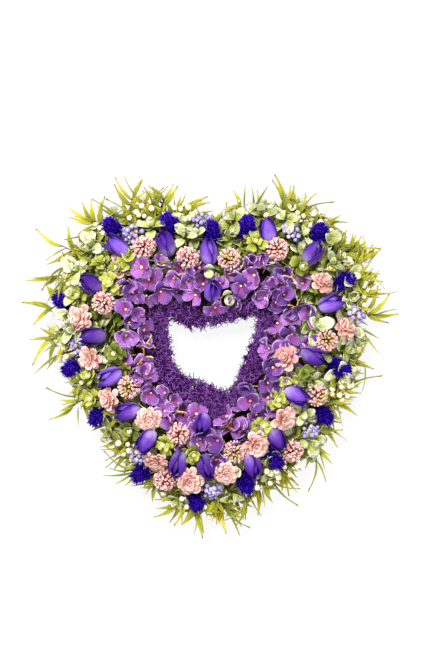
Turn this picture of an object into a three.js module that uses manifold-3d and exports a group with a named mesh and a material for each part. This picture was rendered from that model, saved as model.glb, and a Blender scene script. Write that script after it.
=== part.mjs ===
// A heart-shaped wreath of artificial flowers, lying on the flat back of its foam ring.
// A moss lining faces the hole, hydrangea florets cover the inner half, and tulip buds, pink heads,
// blue grass heads, berries, leaves and slim leafy sprigs cover the outer half.
// Millimetres, +Z up, +Y towards the two lobes of the heart.
import * as THREE from "three";
import { mergeVertices } from "three/addons/utils/BufferGeometryUtils.js";
import Module from "manifold-3d";

const wasm = await Module();
wasm.setup();

// Driving dimensions
const clearance = 0.4;
const foamWidth = 86;
const crownHeight = 44;
const crownFall = 34;
const crownReach = 75;
const tulip = { length: 31, radius: 8.8 };
const grassHead = { length: 27, radius: 9.2 };
const tubeHead = { length: 19, radius: 11.4 };
const dahlia = { radius: 12.8, rise: 5.4 };
const floret = { radius: 15, middle: 1.7, cup: 2.4 };
const broadLeaf = { length: 18, width: 10, thickness: 1.6 };
const boxLeaf = { length: 10, width: 7.5, thickness: 1.6 };
const slimLeaf = { length: 30, width: 5.6, thickness: 1.6 };
const creamBerry = 3.6;
const lilacBerry = 3.2;
const wireRadius = 1.5;
const stemRadius = 1.7;
const lowestLeaf = 1.6;

// The ring: points of the foam's inner and outer edge on the right half, from cleft to tip.
const innerEdge = [
  [0, 45], [16, 47], [32, 54], [47, 58], [55, 48], [57, 30],
  [54, 6], [44, -16], [28, -40], [13, -57], [0, -67],
];
const outerEdge = [
  [0, 131], [28, 134], [58, 143], [92, 140], [124, 114], [142, 66],
  [137, -8], [114, -62], [84, -104], [44, -138], [0, -152],
];
// The foam's section: share of the way from inner to outer edge, and height.
const foamSection = [[0.97, 0], [1, 6], [0.86, 18], [0.62, 25], [0.38, 25], [0.14, 18], [0, 6], [0.03, 0]];
const foamSteps = 30;

// Blooms, read from the photograph: x, y and, where they point sideways, the heading in degrees.
const tulipGroups = [
  [[-135, 70, 150], [-102, 111, 152]],
  [[-51, 121, 120], [-5, 111, 92], [0, 70, 90]],
  [[56, 134, 100], [106, 109, 60]],
  [[129, 59, 25], [111, 3, -20]],
  [[91, -48, -35], [66, -85, -58]],
  [[39, -121, -78], [-5, -126, -65]],
  [[-36, -121, -110], [-12, -75, -100], [-69, -96, -125]],
  [[-93, -59, 190], [-111, -24, 202], [-129, 19, 180]],
];
const grassGroups = [
  [[-158, 59, 155], [-111, 134, 135]],
  [[-50, 139, 118], [2, 132, 93], [34, 135, 78]],
  [[114, 131, 65], [143, 75, 18]],
  [[138, -8, -20], [114, -60, -40]],
  [[67, -107, -58], [29, -133, -72], [-17, -152, -86]],
  [[-77, -125, -145], [-124, -64, -125], [-154, -11, -148]],
];
const tubeGroups = [
  [[-119, 58], [-73, 119]],
  [[-24, 107], [15, 106], [69, 115]],
  [[124, 14], [113, -48]],
  [[85, -105], [23, -106]],
  [[-53, -130], [-44, -90], [-92, -35]],
];
const dahliaGroups = [
  [[-143, 40], [-108, 99]],
  [[119, 76], [141, 27]],
  [[78, -4], [79, -70]],
  [[48, -97], [11, -126]],
  [[-23, -135], [-53, -111]],
  [[-71, -68], [-112, -49], [-132, -2]],
];
const lilacGroups = [
  [[-90, 130], [-10, 144]],
  [[84, 134], [153, 48]],
  [[104, -77], [2, -149]],
  [[-81, -106], [-148, 12]],
];
// Sprigs of small leaves round a cream bud: x, y.
const boxSprigs = [
  [-144, 66], [-118, 99], [-107, 85], [-105, 2], [-133, -23], [-127, -49], [-54, -100], [-25, -108],
  [53, -81], [73, -51], [98, -21], [96, 98], [49, 126],
];
// Sprigs of broad pale leaves: x, y and the heading they spread towards.
const broadSprigs = [
  [-147, 92, 150], [-134, 108, 130], [-64, 140, 100], [-31, 128, 80], [16, 128, 70], [94, 158, 70],
  [128, 97, 40], [106, 36, 10], [146, 60, 20], [139, 2, -10], [95, -66, -50], [22, -142, -80],
  [-38, -151, -110], [-113, -82, -150], [-162, 26, 170],
];
// Pairs of cream berries: x, y.
const berrySprigs = [
  [-122, 133], [-72, 152], [-30, 152], [60, 150], [118, 146], [152, 100], [160, 14], [135, -40],
  [62, -130], [-12, -166], [-98, -112], [-162, -2],
];
// Slim-leaved sprigs of the fringe: x, y of their middle and the heading they grow in.
const fringeSprigs = [
  [-160, 119, 170], [-125, 150, 140], [-90, 167, 120], [-52, 168, 90], [-22, 162, 75], [30, 162, 108],
  [78, 164, 95], [106, 160, 60], [146, 118, 60], [167, 98, 35], [178, 68, 10], [173, 40, -15],
  [160, -10, -35], [143, -50, -25], [126, -78, -30], [106, -108, -45], [82, -134, -55], [58, -148, -75],
  [16, -166, -62], [-14, -174, -90], [-42, -165, -120], [-70, -144, -150], [-100, -122, 175],
  [-124, -84, -130], [-154, -54, -140], [-170, -24, -165], [-176, 10, 178], [-177, 44, 165], [-166, 84, 190],
];
// Rows of hydrangea florets: share across the foam, and spacing along the row.
const floretRows = [
  { across: 0.03, spacing: 32 }, { across: 0.2, spacing: 31 }, { across: 0.4, spacing: 31 },
];
// Small-leaved sprigs nearer than this to the centre line grow among the florets.
const innerReach = 24;
const sectors = 8;
const mossPads = 5;

// A repeatable draw from -1 to 1 for item i, use k.
function draw(i, k) {
  const wave = Math.sin(i * 127.1 + k * 311.7) * 43758.5453;
  return 2 * (wave - Math.floor(wave)) - 1;
}

// Blooms and sprigs with the room that each needs round its middle.
const crowd = [];
function member([x, y, aim], room) {
  const made = { x, y, aim, room, home: [x, y] };
  crowd.push(made);
  return made;
}
const inGroups = (groups, room) => groups.map((group) => group.map((place) => member(place, room)));
const tulips = inGroups(tulipGroups, 11.5);
const grasses = inGroups(grassGroups, 10);
const tubes = inGroups(tubeGroups, 12);
const dahlias = inGroups(dahliaGroups, 12.5);
const lilacs = inGroups(lilacGroups, 9.5);
const boxes = boxSprigs.map((place) => member(place, 8.5));
const broads = broadSprigs.map((place) => member(place, 11));
const berries = berrySprigs.map((place) => member(place, 8));

// Moves members that crowd each other a little apart, held back towards where they were read.
function spreadOut(members, rounds = 60, push = 0.2, hold = 0.03) {
  for (let n = 0; n < rounds; n++) {
    members.forEach((a, i) => {
      for (const b of members.slice(i + 1)) {
        const [dx, dy] = [b.x - a.x, b.y - a.y];
        const gap = Math.hypot(dx, dy);
        const move = push * Math.max(0, (a.room + b.room) / gap - 1);
        a.x -= move * dx;
        a.y -= move * dy;
        b.x += move * dx;
        b.y += move * dy;
      }
    });
    for (const a of members) {
      a.x += hold * (a.home[0] - a.x);
      a.y += hold * (a.home[1] - a.y);
    }
  }
}
spreadOut(crowd);

const radians = (degrees) => (degrees * Math.PI) / 180;
const clamp = THREE.MathUtils.clamp;

// A closed, smooth edge through the points of one half and their mirror image.
function mirrored(half) {
  const left = half.slice(1, -1).map(([x, y]) => [-x, y]).reverse();
  const points = [...half, ...left].map(([x, y]) => new THREE.Vector3(x, y, 0));
  return new THREE.CatmullRomCurve3(points, true, "catmullrom", 0.5);
}
const innerCurve = mirrored(innerEdge);
const outerCurve = mirrored(outerEdge);

// The centre line in short steps, with the length run so far, so that places spread evenly.
const centreSteps = 400;
const centreLine = [];
for (let i = 0; i <= centreSteps; i++) {
  const point = innerCurve.getPoint(i / centreSteps).lerp(outerCurve.getPoint(i / centreSteps), 0.5);
  const run = i ? centreLine[i - 1].run + point.distanceTo(centreLine[i - 1].point) : 0;
  centreLine.push({ point, run });
}
const centreLength = centreLine[centreSteps].run;

// Point of the ring: share of the way round, share from inner to outer edge, and height.
function ringPoint(round, across, z = 0) {
  const run = (round - Math.floor(round)) * centreLength;
  const next = centreLine.findIndex((sample) => sample.run > run);
  const [a, b] = [centreLine[next - 1], centreLine[next]];
  const t = (next - 1 + (run - a.run) / (b.run - a.run)) / centreSteps;
  return innerCurve.getPoint(t).lerp(outerCurve.getPoint(t), across).setZ(z);
}

// Where x, y lies: share round, distance out from the centre line, and the outward heading.
function locate(x, y) {
  const here = new THREE.Vector3(x, y, 0);
  const steps = centreLine.slice(0, centreSteps);
  const distances = steps.map(({ point }) => point.distanceTo(here));
  const nearest = distances.indexOf(Math.min(...distances));
  const t = nearest / centreSteps;
  const outward = outerCurve.getPoint(t).sub(innerCurve.getPoint(t));
  const side = here.clone().sub(centreLine[nearest].point).dot(outward);
  return {
    round: centreLine[nearest].run / centreLength,
    out: Math.sign(side) * distances[nearest],
    heading: THREE.MathUtils.radToDeg(Math.atan2(outward.y, outward.x)),
  };
}

// Height of the flowers' crown at a distance out from the centre line.
const crown = (out) => crownHeight - crownFall * (out / crownReach) ** 2;

// Height at which something of a radius rests on the foam, or beside its outer wall.
function restHeight(across, radius) {
  if (across >= 1) return 8;
  const top = foamSection.slice(1, 7);
  const next = Math.max(top.findIndex(([share]) => share <= across), 1);
  const [[outer, low], [inner, high]] = [top[next - 1], top[next]];
  const slope = (high - low) / ((outer - inner) * foamWidth);
  return low + slope * (outer - across) * foamWidth + radius * Math.hypot(1, slope);
}

// Direction from a heading and a rise above the horizon, both in degrees.
function direction(heading, rise) {
  const level = Math.cos(radians(rise));
  return new THREE.Vector3(
    level * Math.cos(radians(heading)), level * Math.sin(radians(heading)), Math.sin(radians(rise)),
  );
}

// Placement with local Y along a direction and local Z as near upright as that allows.
function placed(origin, along, roll = 0) {
  const y = along.clone().normalize();
  const upright = new THREE.Vector3(0, Math.abs(y.z) > 0.999 ? 1 : 0, 1);
  const z = upright.addScaledVector(y, -upright.dot(y)).normalize();
  const x = new THREE.Vector3().crossVectors(y, z);
  const turn = new THREE.Matrix4().makeRotationY(radians(roll));
  return new THREE.Matrix4().makeBasis(x, y, z).multiply(turn).setPosition(origin);
}

// The solid of a closed geometry. Faces that merging turns into a line are left out.
function solid(geometry) {
  geometry.deleteAttribute("normal");
  geometry.deleteAttribute("uv");
  const merged = mergeVertices(geometry, 1e-4);
  const faces = [];
  for (let i = 0; i < merged.index.count; i += 3) {
    const [a, b, c] = [0, 1, 2].map((k) => merged.index.getX(i + k));
    if (a !== b && b !== c && c !== a) faces.push(a, b, c);
  }
  const made = new wasm.Mesh({
    numProp: 3,
    vertProperties: new Float32Array(merged.attributes.position.array),
    triVerts: new Uint32Array(faces),
  });
  return new wasm.Manifold(made);
}

// A sphere of few faces whose rings of points are set by shape(ring, spoke). Ring 0 is the tip,
// ring rings + 1 the root, and in between each ring has one point for each spoke.
function moulded(around, rings, shape, matrix = new THREE.Matrix4()) {
  const geometry = new THREE.SphereGeometry(1, around, rings + 1);
  const position = geometry.attributes.position;
  for (let i = 0; i < position.count; i++) {
    const ring = Math.floor(i / (around + 1));
    const spoke = i % (around + 1) % around;
    const ends = ring === 0 || ring === rings + 1;
    position.setXYZ(i, ...shape(ring, ends ? 0 : spoke));
  }
  return solid(geometry.applyMatrix4(matrix));
}

// A point of a round form, as radius and height, moved outward from a middle height.
function swell([radius, height], middle, amount) {
  const share = 1 + amount / (Math.hypot(radius, height - middle) || 1);
  return [radius * share, middle + (height - middle) * share];
}

// A round form on the Y axis: level(ring, spoke) gives radius and height.
function turned(around, rings, level, matrix) {
  const shape = (ring, spoke) => {
    const [radius, height] = level(ring, spoke);
    const angle = (2 * Math.PI * spoke) / around;
    return [-radius * Math.cos(angle), height, radius * Math.sin(angle)];
  };
  return moulded(around, rings, shape, matrix);
}

// Outline of leaves that fan out from one point, as [angle, radius, height] round the point. Each
// leaf has an angle, a length and a rise, and the notches between leaves are at notch.
function leafOutline(leaves, width, notch) {
  return leaves.flatMap(({ angle, length, rise }, i) => {
    const next = leaves[(i + 1) % leaves.length].angle + (i + 1 === leaves.length ? 360 : 0);
    const side = THREE.MathUtils.radToDeg(Math.atan2(width / 2, 0.5 * length));
    const edge = (turn) => [turn, 0.55 * length, 0.5 * rise];
    return [edge(angle - side), [angle, length, rise], edge(angle + side), [(angle + next) / 2, notch, 0]];
  });
}

// A whorl of leaves or petals round the axis along, on a stem of its own down to foot. The
// outline is thin and the middle thick, or a bud of a radius. The stem ends with radius ankle.
function whorl({ outline, thickness, bud = 0, ankle = 0 }, origin, along, roll, foot, grow) {
  const around = outline.length;
  const matrix = placed(origin, along, roll);
  const end = foot.clone().applyMatrix4(matrix.clone().invert());
  const neck = new THREE.Vector3(0, -thickness / 2 - grow, 0);
  const down = end.clone().sub(neck).normalize();
  const past = end.clone().addScaledVector(down, 1 + grow);
  const bend = new THREE.Quaternion().setFromUnitVectors(new THREE.Vector3(0, -1, 0), down);
  const straight = new THREE.Quaternion();
  // A ring drawn in to a few corners round a centre.
  const drawnIn = (spoke, corners, centre, radius, turn) => {
    const middle = Math.floor(((Math.floor((spoke * corners) / around) + 0.5) * around) / corners);
    const angle = radians(outline[middle][0]);
    const corner = new THREE.Vector3(-Math.cos(angle), 0, Math.sin(angle)).applyQuaternion(turn);
    return corner.multiplyScalar(radius + 1.5 * grow).add(centre).toArray();
  };
  const rim = ([angle, ...level]) => {
    const [reach, height] = swell(level, 0, 4 * grow);
    return [-reach * Math.cos(radians(angle)), height, reach * Math.sin(radians(angle))];
  };
  const girth = new THREE.Vector3(0, 0.9 * bud, 0);
  const rings = [
    () => [0, (bud ? 1.8 * bud : thickness / 2) + grow, 0],
    ...(bud ? [(spoke) => drawnIn(spoke, 5, girth, bud, straight)] : []),
    (spoke) => rim(outline[spoke]),
    (spoke) => drawnIn(spoke, 3, neck, 1.6, straight.clone().slerp(bend, 0.5)),
    ...(ankle ? [(spoke) => drawnIn(spoke, 3, end, ankle, bend)] : []),
    () => past.toArray(),
  ];
  return moulded(around, rings.length - 2, (ring, spoke) => rings[ring](spoke), matrix);
}

// A fan of leaves that lies nearly level, heading one way, round a thick middle.
function fan(outline, thickness, origin, heading, grow) {
  const shape = (ring, spoke) => {
    if (ring !== 1) return [0, ring ? -thickness / 2 - grow : thickness / 2 + grow, 0];
    const [angle, ...level] = outline[spoke];
    const [reach, height] = swell(level, 0, 4 * grow);
    return [reach * Math.cos(radians(angle)), height, -reach * Math.sin(radians(angle))];
  };
  const matrix = new THREE.Matrix4().makeRotationZ(radians(heading));
  matrix.multiply(new THREE.Matrix4().makeRotationX(Math.PI / 2)).setPosition(origin);
  return moulded(outline.length, 1, shape, matrix);
}

// A straight three-sided stem that narrows towards both of its ends.
function stem(from, to, grow, radius = stemRadius) {
  const along = to.clone().sub(from);
  const half = along.length() / 2;
  const level = (ring) => swell([ring === 1 ? radius : 0, half + (1 - ring) * (half + 1.5)], half, 3 * grow);
  return turned(3, 1, level, placed(from, along));
}

// Binding wire that runs round the ring from one share to another: its body, and the point on
// it at a share round the ring.
function bindingWire(from, to, across) {
  const steps = Math.max(2, Math.round(((to - from) * centreLength) / 28));
  const height = restHeight(across, wireRadius + 1.05);
  const route = Array.from({ length: steps + 1 }, (_, i) =>
    ringPoint(from + ((to - from) * i) / steps, across, height));
  const longer = (end, next, amount) => end.clone().add(end.clone().sub(next).setLength(amount));
  const body = (grow) => {
    const radius = wireRadius + 2 * grow;
    const section = [90, 210, 330].map((angle) =>
      new THREE.Vector2(radius * Math.cos(radians(angle)), radius * Math.sin(radians(angle))));
    const ends = [longer(route[0], route[1], 2 * grow), longer(route[steps], route[steps - 1], 2 * grow)];
    const extrudePath = new THREE.CatmullRomCurve3([ends[0], ...route.slice(1, -1), ends[1]]);
    return solid(new THREE.ExtrudeGeometry(new THREE.Shape(section), { steps, extrudePath }));
  };
  const corners = new THREE.CatmullRomCurve3(route).getSpacedPoints(steps);
  const at = (round) => {
    const run = clamp((round - from) / (to - from), 0.03, 0.97) * steps;
    const corner = Math.floor(run);
    return corners[corner].clone().lerp(corners[corner + 1], run - corner);
  };
  return { body, at };
}

function ball(centre, radius, grow) {
  const geometry = new THREE.IcosahedronGeometry(radius + 1.3 * grow, 0);
  return solid(geometry.translate(centre.x, centre.y, centre.z));
}

// Heads. Each takes its centre, the way it points and how much to grow on every side.
function tulipHead(centre, along, roll, grow) {
  const root = centre.clone().addScaledVector(along, -tulip.length / 2);
  const radii = [0, 0.6, 1, 0.74, 0];
  const heights = [0.76, 0.95, 0.5, 0.12, 0];
  const level = (ring, spoke) => {
    const petal = spoke % 3 === 0;
    const dip = ring === 1 && !petal ? 0.1 : 0;
    const radius = tulip.radius * radii[ring] * (petal ? 1 : 0.86);
    return swell([radius, tulip.length * (heights[ring] - dip)], 0.45 * tulip.length, 1.4 * grow);
  };
  return turned(9, 3, level, placed(root, along, roll));
}

function spikyHead(size, around, rings, lean, centre, along, grow) {
  const root = centre.clone().addScaledVector(along, -size.length / 2);
  const level = (ring, spoke) => {
    const share = 1 - ring / (rings + 1);
    const tip = ring === 0 || ring === rings + 1;
    const spike = !tip && (ring + spoke) % 2 === 0;
    const full = tip ? 0 : size.radius * Math.sin(Math.PI * (0.1 + 0.82 * share)) ** 0.6;
    const height = size.length * (share + (spike ? lean : 0));
    return swell([full * (spike ? 1 : 0.74), height], size.length / 2, 1.4 * grow);
  };
  return turned(around, rings, level, placed(root, along));
}

// Radius and height of a dahlia's rings from crown to back, on a petal and between petals.
const dahliaPetal = [[0, 0.8], [0.34, 1], [0.68, 0.7], [1, 0.2], [0, -1]];
const dahliaGap = [[0, 0.8], [0.22, 0.8], [0.5, 0.5], [0.72, -0.1], [0, -1]];
function dahliaHead(centre, along, grow) {
  const level = (ring, spoke) => {
    const [radius, height] = ((spoke + ring) % 2 ? dahliaGap : dahliaPetal)[ring];
    return swell([radius * dahlia.radius, height * dahlia.rise], 0, 1.5 * grow);
  };
  return turned(12, 3, level, placed(centre, along));
}

// Outline of four cupped petals with a notch between each two.
const petalOutline = Array.from({ length: 12 }, (_, spoke) => {
  const notch = spoke % 3 === 0;
  return [30 * spoke, floret.radius * (notch ? 0.42 : 0.93), notch ? 0.2 : floret.cup];
});

// Solids so far, grown by the clearance, that later ones keep out of.
const taken = [];

function nearTaken(body) {
  const box = body.boundingBox();
  const apart = (bounds) =>
    [0, 1, 2].some((a) => bounds.min[a] > box.max[a] || bounds.max[a] < box.min[a]);
  return taken.filter(({ bounds }) => !apart(bounds)).map(({ grown }) => grown);
}

// The first route that is clear of the solids so far, or else the one that crosses them least.
function clearest(routes, make) {
  let best = { crossed: Infinity };
  for (const route of routes) {
    const body = make(route);
    const crossed = nearTaken(body).reduce((sum, other) => sum + body.intersect(other).volume(), 0);
    if (crossed < best.crossed) best = { route, crossed };
    if (crossed < 0.01) break;
  }
  return best.route;
}

// Joins a node's pieces, cuts it clear of the nodes before it and keeps its one whole body. A
// piece is a function of how much to grow, so it also gives the form that later nodes clear.
const wreath = new THREE.Group();
function node(name, colour, roughness, pieces) {
  const joined = wasm.Manifold.union(pieces.map((piece) => piece(0)));
  const cut = wasm.Manifold.difference([joined, ...nearTaken(joined)]).simplify(0.1);
  const whole = cut.decompose().reduce((a, b) => (a.volume() > b.volume() ? a : b));
  for (const piece of pieces) {
    const grown = piece(clearance);
    taken.push({ grown, bounds: grown.boundingBox() });
  }
  const made = whole.getMesh();
  const geometry = new THREE.BufferGeometry();
  geometry.setAttribute("position", new THREE.BufferAttribute(made.vertProperties, made.numProp));
  geometry.setIndex(new THREE.BufferAttribute(made.triVerts, 1));
  geometry.computeVertexNormals();
  const material = new THREE.MeshStandardMaterial({ color: colour, roughness, metalness: 0 });
  const mesh = new THREE.Mesh(geometry, material);
  mesh.name = name;
  wreath.add(mesh);
}

function placeOf(x, y, lift) {
  const place = locate(x, y);
  return { ...place, centre: new THREE.Vector3(x, y, crown(place.out) + lift) };
}

// Tries 0, 1, -1, 2, -2 and so on, in order.
const sideSteps = Array.from({ length: 13 }, (_, i) => (i % 2 ? 1 : -1) * Math.ceil(i / 2));

// A wire on the lane that is clearest of the solids so far, and the foot on it of each stem.
function lay(from, to, lanes) {
  const wires = lanes.map((across) => bindingWire(from, to, across));
  const wire = clearest(wires, ({ body }) => body(0));
  const footOf = (round, root) => {
    const near = round + Math.round((from + to) / 2 - round);
    const feet = sideSteps.map((step) => wire.at(near + 0.006 * step));
    return clearest(feet, (foot) => stem(root, foot, 0));
  };
  return { wire: wire.body, footOf };
}

const lanesNear = (across) =>
  sideSteps.map((step) => across + 0.045 * step).filter((share) => share > 0.4 && share < 0.97);

// Blooms of one kind on a shared wire a little inside them.
function bloomGroup(name, colour, roughness, group, lift, inset, bloom) {
  const places = group.map(({ x, y, aim }, index) => {
    const place = placeOf(x, y, lift);
    return { ...place, ...bloom({ ...place, aim, index }) };
  });
  const first = places[0].round;
  const rounds = places.map(({ round }) => round + Math.round(first - round));
  const mean = places.reduce((sum, { out }) => sum + out / places.length, 0);
  const [from, to] = [Math.min(...rounds) - 0.009, Math.max(...rounds) + 0.009];
  const { wire, footOf } = lay(from, to, lanesNear(clamp(0.5 + (mean - inset) / foamWidth, 0.45, 0.9)));
  const pieces = [wire];
  for (const { form, root, round } of places) {
    const foot = footOf(round, root);
    pieces.push(form, (grow) => stem(root, foot, grow));
  }
  node(name, colour, roughness, pieces);
}

// Foam ring with a flat back
function foamPiece(grow) {
  const geometry = new THREE.TorusGeometry(3, 1, foamSection.length, foamSteps);
  const position = geometry.attributes.position;
  for (let i = 0; i < position.count; i++) {
    const corner = Math.floor(i / (foamSteps + 1)) % foamSection.length;
    const round = 1 - (i % (foamSteps + 1)) / foamSteps;
    const [across, height] = foamSection[corner];
    const wider = (across > 0.5 ? grow : -grow) / foamWidth;
    const point = ringPoint(round, across + wider, height + (height > 0 ? grow : -grow));
    position.setXYZ(i, point.x, point.y, point.z);
  }
  return solid(geometry);
}
node("foam_ring", 0xe9e4dc, 0.9, [foamPiece]);

// Tulip buds, highest of all, pointing out over the edge
tulips.forEach((group, g) => {
  bloomGroup(`tulip_spray_${g + 1}`, 0x5a2fb0, 0.45, group, 5, 12, ({ centre, out, aim, index }) => {
    const along = direction(aim, out < 0 && out > -30 ? 45 : 24);
    const roll = 40 * draw(g * 5 + index, 1);
    return {
      form: (grow) => tulipHead(centre, along, roll, grow),
      root: centre.clone().addScaledVector(along, 5 - tulip.length / 2),
    };
  });
});

// Blue grass heads
grasses.forEach((group, g) => {
  bloomGroup(`blue_grass_${g + 1}`, 0x2a0d8c, 0.8, group, -2, 16, ({ centre, aim }) => {
    const along = direction(aim, 26);
    return {
      form: (grow) => spikyHead(grassHead, 8, 4, 0.08, centre, along, grow),
      root: centre.clone().addScaledVector(along, 6 - grassHead.length / 2),
    };
  });
});

// Pink heads of fine tubes
tubes.forEach((group, g) => {
  bloomGroup(`pink_tube_heads_${g + 1}`, 0xe9a79c, 0.7, group, 5, 4, ({ centre, out, heading }) => {
    const along = direction(heading, 90 - 1.1 * out);
    return {
      form: (grow) => spikyHead(tubeHead, 10, 3, 0.06, centre, along, grow),
      root: centre.clone().addScaledVector(along, 4 - tubeHead.length / 2),
    };
  });
});

// Pink dahlias
dahlias.forEach((group, g) => {
  bloomGroup(`pink_dahlias_${g + 1}`, 0xefa8a0, 0.7, group, 5, 4, ({ centre, out, heading, index }) => {
    const along = direction(heading + 20 * draw(g + index, 2), 88 - out);
    return {
      form: (grow) => dahliaHead(centre, along, grow),
      root: centre.clone().addScaledVector(along, -0.4 * dahlia.rise),
    };
  });
});

// Lilac berries: three on short stalks round a middle one
lilacs.forEach((group, g) => {
  bloomGroup(`lilac_berries_${g + 1}`, 0xa894dc, 0.5, group, 3, 8, ({ centre, heading, index }) => {
    const along = direction(heading, 50);
    const roll = 36 * draw(g * 7 + index, 1);
    const root = centre.clone().addScaledVector(along, -6);
    const stalks = Array.from({ length: 6 }, (_, i) => [60 * i, i % 2 ? 7.5 : 2.4, i % 2 ? 4.5 : 0]);
    const frame = placed(root, along, roll);
    const tips = stalks.filter((_, i) => i % 2).map(([angle, radius, height]) =>
      new THREE.Vector3(-radius * Math.cos(radians(angle)), height, radius * Math.sin(radians(angle))));
    const berries = [...tips, new THREE.Vector3(0, 8, 0)].map((tip) => tip.applyMatrix4(frame));
    const star = (grow) => turned(6, 1, (ring, spoke) => {
      const level = [[0, 6], stalks[spoke].slice(1), [0, -2]][ring];
      return swell(level, 0, 2 * grow);
    }, frame);
    const balls = (grow) => berries.map((berry) => ball(berry, lilacBerry, grow));
    return { root, form: (grow) => wasm.Manifold.union([star(grow), ...balls(grow)]) };
  });
});

// Hydrangea: florets in three rows, standing out of a core, one bunch to a sector
const sectorOf = (round) => Math.floor((round - Math.floor(round)) * sectors);
const overlying = [...tulips, ...tubes, ...dahlias].flat();
const florets = floretRows.flatMap(({ across, spacing }, row) => {
  const count = Math.round((centreLength * (0.62 + 0.6 * across)) / spacing);
  return Array.from({ length: count }, (_, i) => {
    const id = row * 100 + i;
    const round = (i + 0.5 * (row % 2) + 0.18 * draw(id, 3)) / count;
    const point = ringPoint(round, across + 0.03 * draw(id, 4));
    const { out, heading } = locate(point.x, point.y);
    point.z = crown(out) - 1.5 + 2 * draw(id, 5);
    return { id, round, point, out, heading };
  });
}).filter(({ point }) => !overlying.some(({ x, y }) => Math.hypot(point.x - x, point.y - y) < 12));

// Members of one sector, with their places in the crown.
const inSector = (sprigs, k, lift) => sprigs
  .map(({ x, y, aim }, i) => ({ ...placeOf(x, y, lift), aim, id: i }))
  .filter(({ round }) => sectorOf(round) === k);

// Evenly turned leaves of nearly one size, rising from the whorl's middle.
function evenLeaves(count, size, rise, id) {
  return Array.from({ length: count }, (_, i) => ({
    angle: (360 / count) * i + 7 * draw(id * 9 + i, 9),
    length: size.length * (1 + 0.12 * draw(id * 9 + i, 10)),
    rise: rise + 3 * draw(id * 9 + i, 11),
  }));
}

// A sprig of five small leaves round a cream bud.
function boxSprig({ centre, heading, out, id }, foot) {
  const outline = evenLeaves(5, boxLeaf, 2.5, id).flatMap(({ angle, length, rise }) =>
    [[angle, length, rise], [angle + 36, 0.45 * length, 0]]);
  const leaves = { outline, thickness: boxLeaf.thickness, bud: creamBerry, ankle: 1 };
  return (grow) => whorl(leaves, centre, direction(heading, 88 - out), 0, foot, grow);
}

// A closed body along the ring. section has the share across and the height at each spoke, and
// both ends are drawn in to the section's middle.
function arcBody(from, to, rings, section, bump, grow) {
  const mean = (k) => section.reduce((sum, point) => sum + point[k], 0) / section.length;
  const [middle, height] = [mean(0), mean(1)];
  const shape = (ring, spoke) => {
    const share = 1 - ring / (rings + 1);
    const end = ring === 0 || ring === rings + 1;
    const full = end ? 0 : Math.sin(Math.PI * share) ** 0.35 * (1 + bump(ring, spoke));
    const [dx, dz] = [(section[spoke][0] - middle) * full, (section[spoke][1] - height) * full];
    const larger = 1 + (2.5 * grow) / (Math.hypot(dx * foamWidth, dz) || 1);
    const round = from + (to - from) * share + (end ? (share - 0.5) * 0.004 * grow : 0);
    return ringPoint(round, middle + dx * larger, Math.max(height + dz * larger, 0.6)).toArray();
  };
  return moulded(section.length, rings, shape);
}

const coreSection = [[0.4, 30], [0.3, 36], [0.16, 36], [0.05, 28], [0.07, 21], [0.3, 27]];
for (let k = 0; k < sectors; k++) {
  const [from, to] = [(k + 0.03) / sectors, (k + 0.97) / sectors];
  const core = (grow) => arcBody(from, to, 3, coreSection, () => 0, grow);
  const here = florets.filter(({ round }) => sectorOf(round) === k);
  const heads = here.map(({ id, round, point, out, heading }) => {
    const along = direction(heading + 14 * draw(id, 6), 90 - out + 12 * draw(id, 7));
    const root = ringPoint(clamp(round - Math.floor(round), from + 0.022, to - 0.022), 0.22, 30);
    const petals = { outline: petalOutline, thickness: floret.middle };
    return (grow) => whorl(petals, point, along, 90 * draw(id, 8), root, grow);
  });
  const sprigs = inSector(boxes, k, 3).filter(({ out }) => out < innerReach).map((sprig) =>
    boxSprig(sprig, ringPoint(clamp(sprig.round, from + 0.022, to - 0.022), 0.28, 31)));
  const held = (from + to) / 2;
  const pin = (grow) => stem(ringPoint(held, 0.3, 33), ringPoint(held, 0.3, 18), grow);
  node(`hydrangea_bunch_${k + 1}`, 0x8a4fb5, 0.55, [core, pin, ...heads, ...sprigs]);
}

// Leafy sprays: small-leaved, broad-leaved and berry sprigs of a sector on one wire
for (let k = 0; k < sectors; k++) {
  const box = inSector(boxes, k, 3).filter(({ out }) => out >= innerReach);
  const broad = inSector(broads, k, 1);
  const berried = inSector(berries, k, 1);
  const [from, to] = [(k + 0.04) / sectors, (k + 0.96) / sectors];
  const { wire, footOf } = lay(from, to, lanesNear(0.93));
  const pieces = [wire];
  for (const sprig of box) pieces.push(boxSprig(sprig, footOf(sprig.round, sprig.centre)));
  for (const { centre, aim, out, round, id } of broad) {
    const along = direction(aim, 80 - 0.8 * out);
    const outline = leafOutline(evenLeaves(4, broadLeaf, 4, id + 40), broadLeaf.width, 3.4);
    const leaves = { outline, thickness: broadLeaf.thickness, ankle: 1 };
    const foot = footOf(round, centre);
    pieces.push((grow) => whorl(leaves, centre, along, 45, foot, grow));
  }
  for (const { centre, heading, round, id } of berried) {
    const along = direction(heading, 55);
    const roll = 30 * draw(id, 12);
    const outline = [0, 60, 120, 180, 240, 300].map((angle) =>
      (angle % 180 ? [angle, 1.8, 0] : [angle, 9.5, 3]));
    const stalks = { outline, thickness: 2.4, ankle: 1 };
    const foot = footOf(round, centre);
    const frame = placed(centre, along, roll);
    pieces.push(
      (grow) => whorl(stalks, centre, along, roll, foot, grow),
      ...[-9.5, 9.5].map((side) => (grow) =>
        ball(new THREE.Vector3(side, 3, 0).applyMatrix4(frame), creamBerry, grow)),
    );
  }
  node(`leafy_spray_${k + 1}`, 0xb9c98a, 0.6, pieces);
}

const fringes = fringeSprigs.map(([x, y, aim]) => ({ x, y, aim }));

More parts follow.
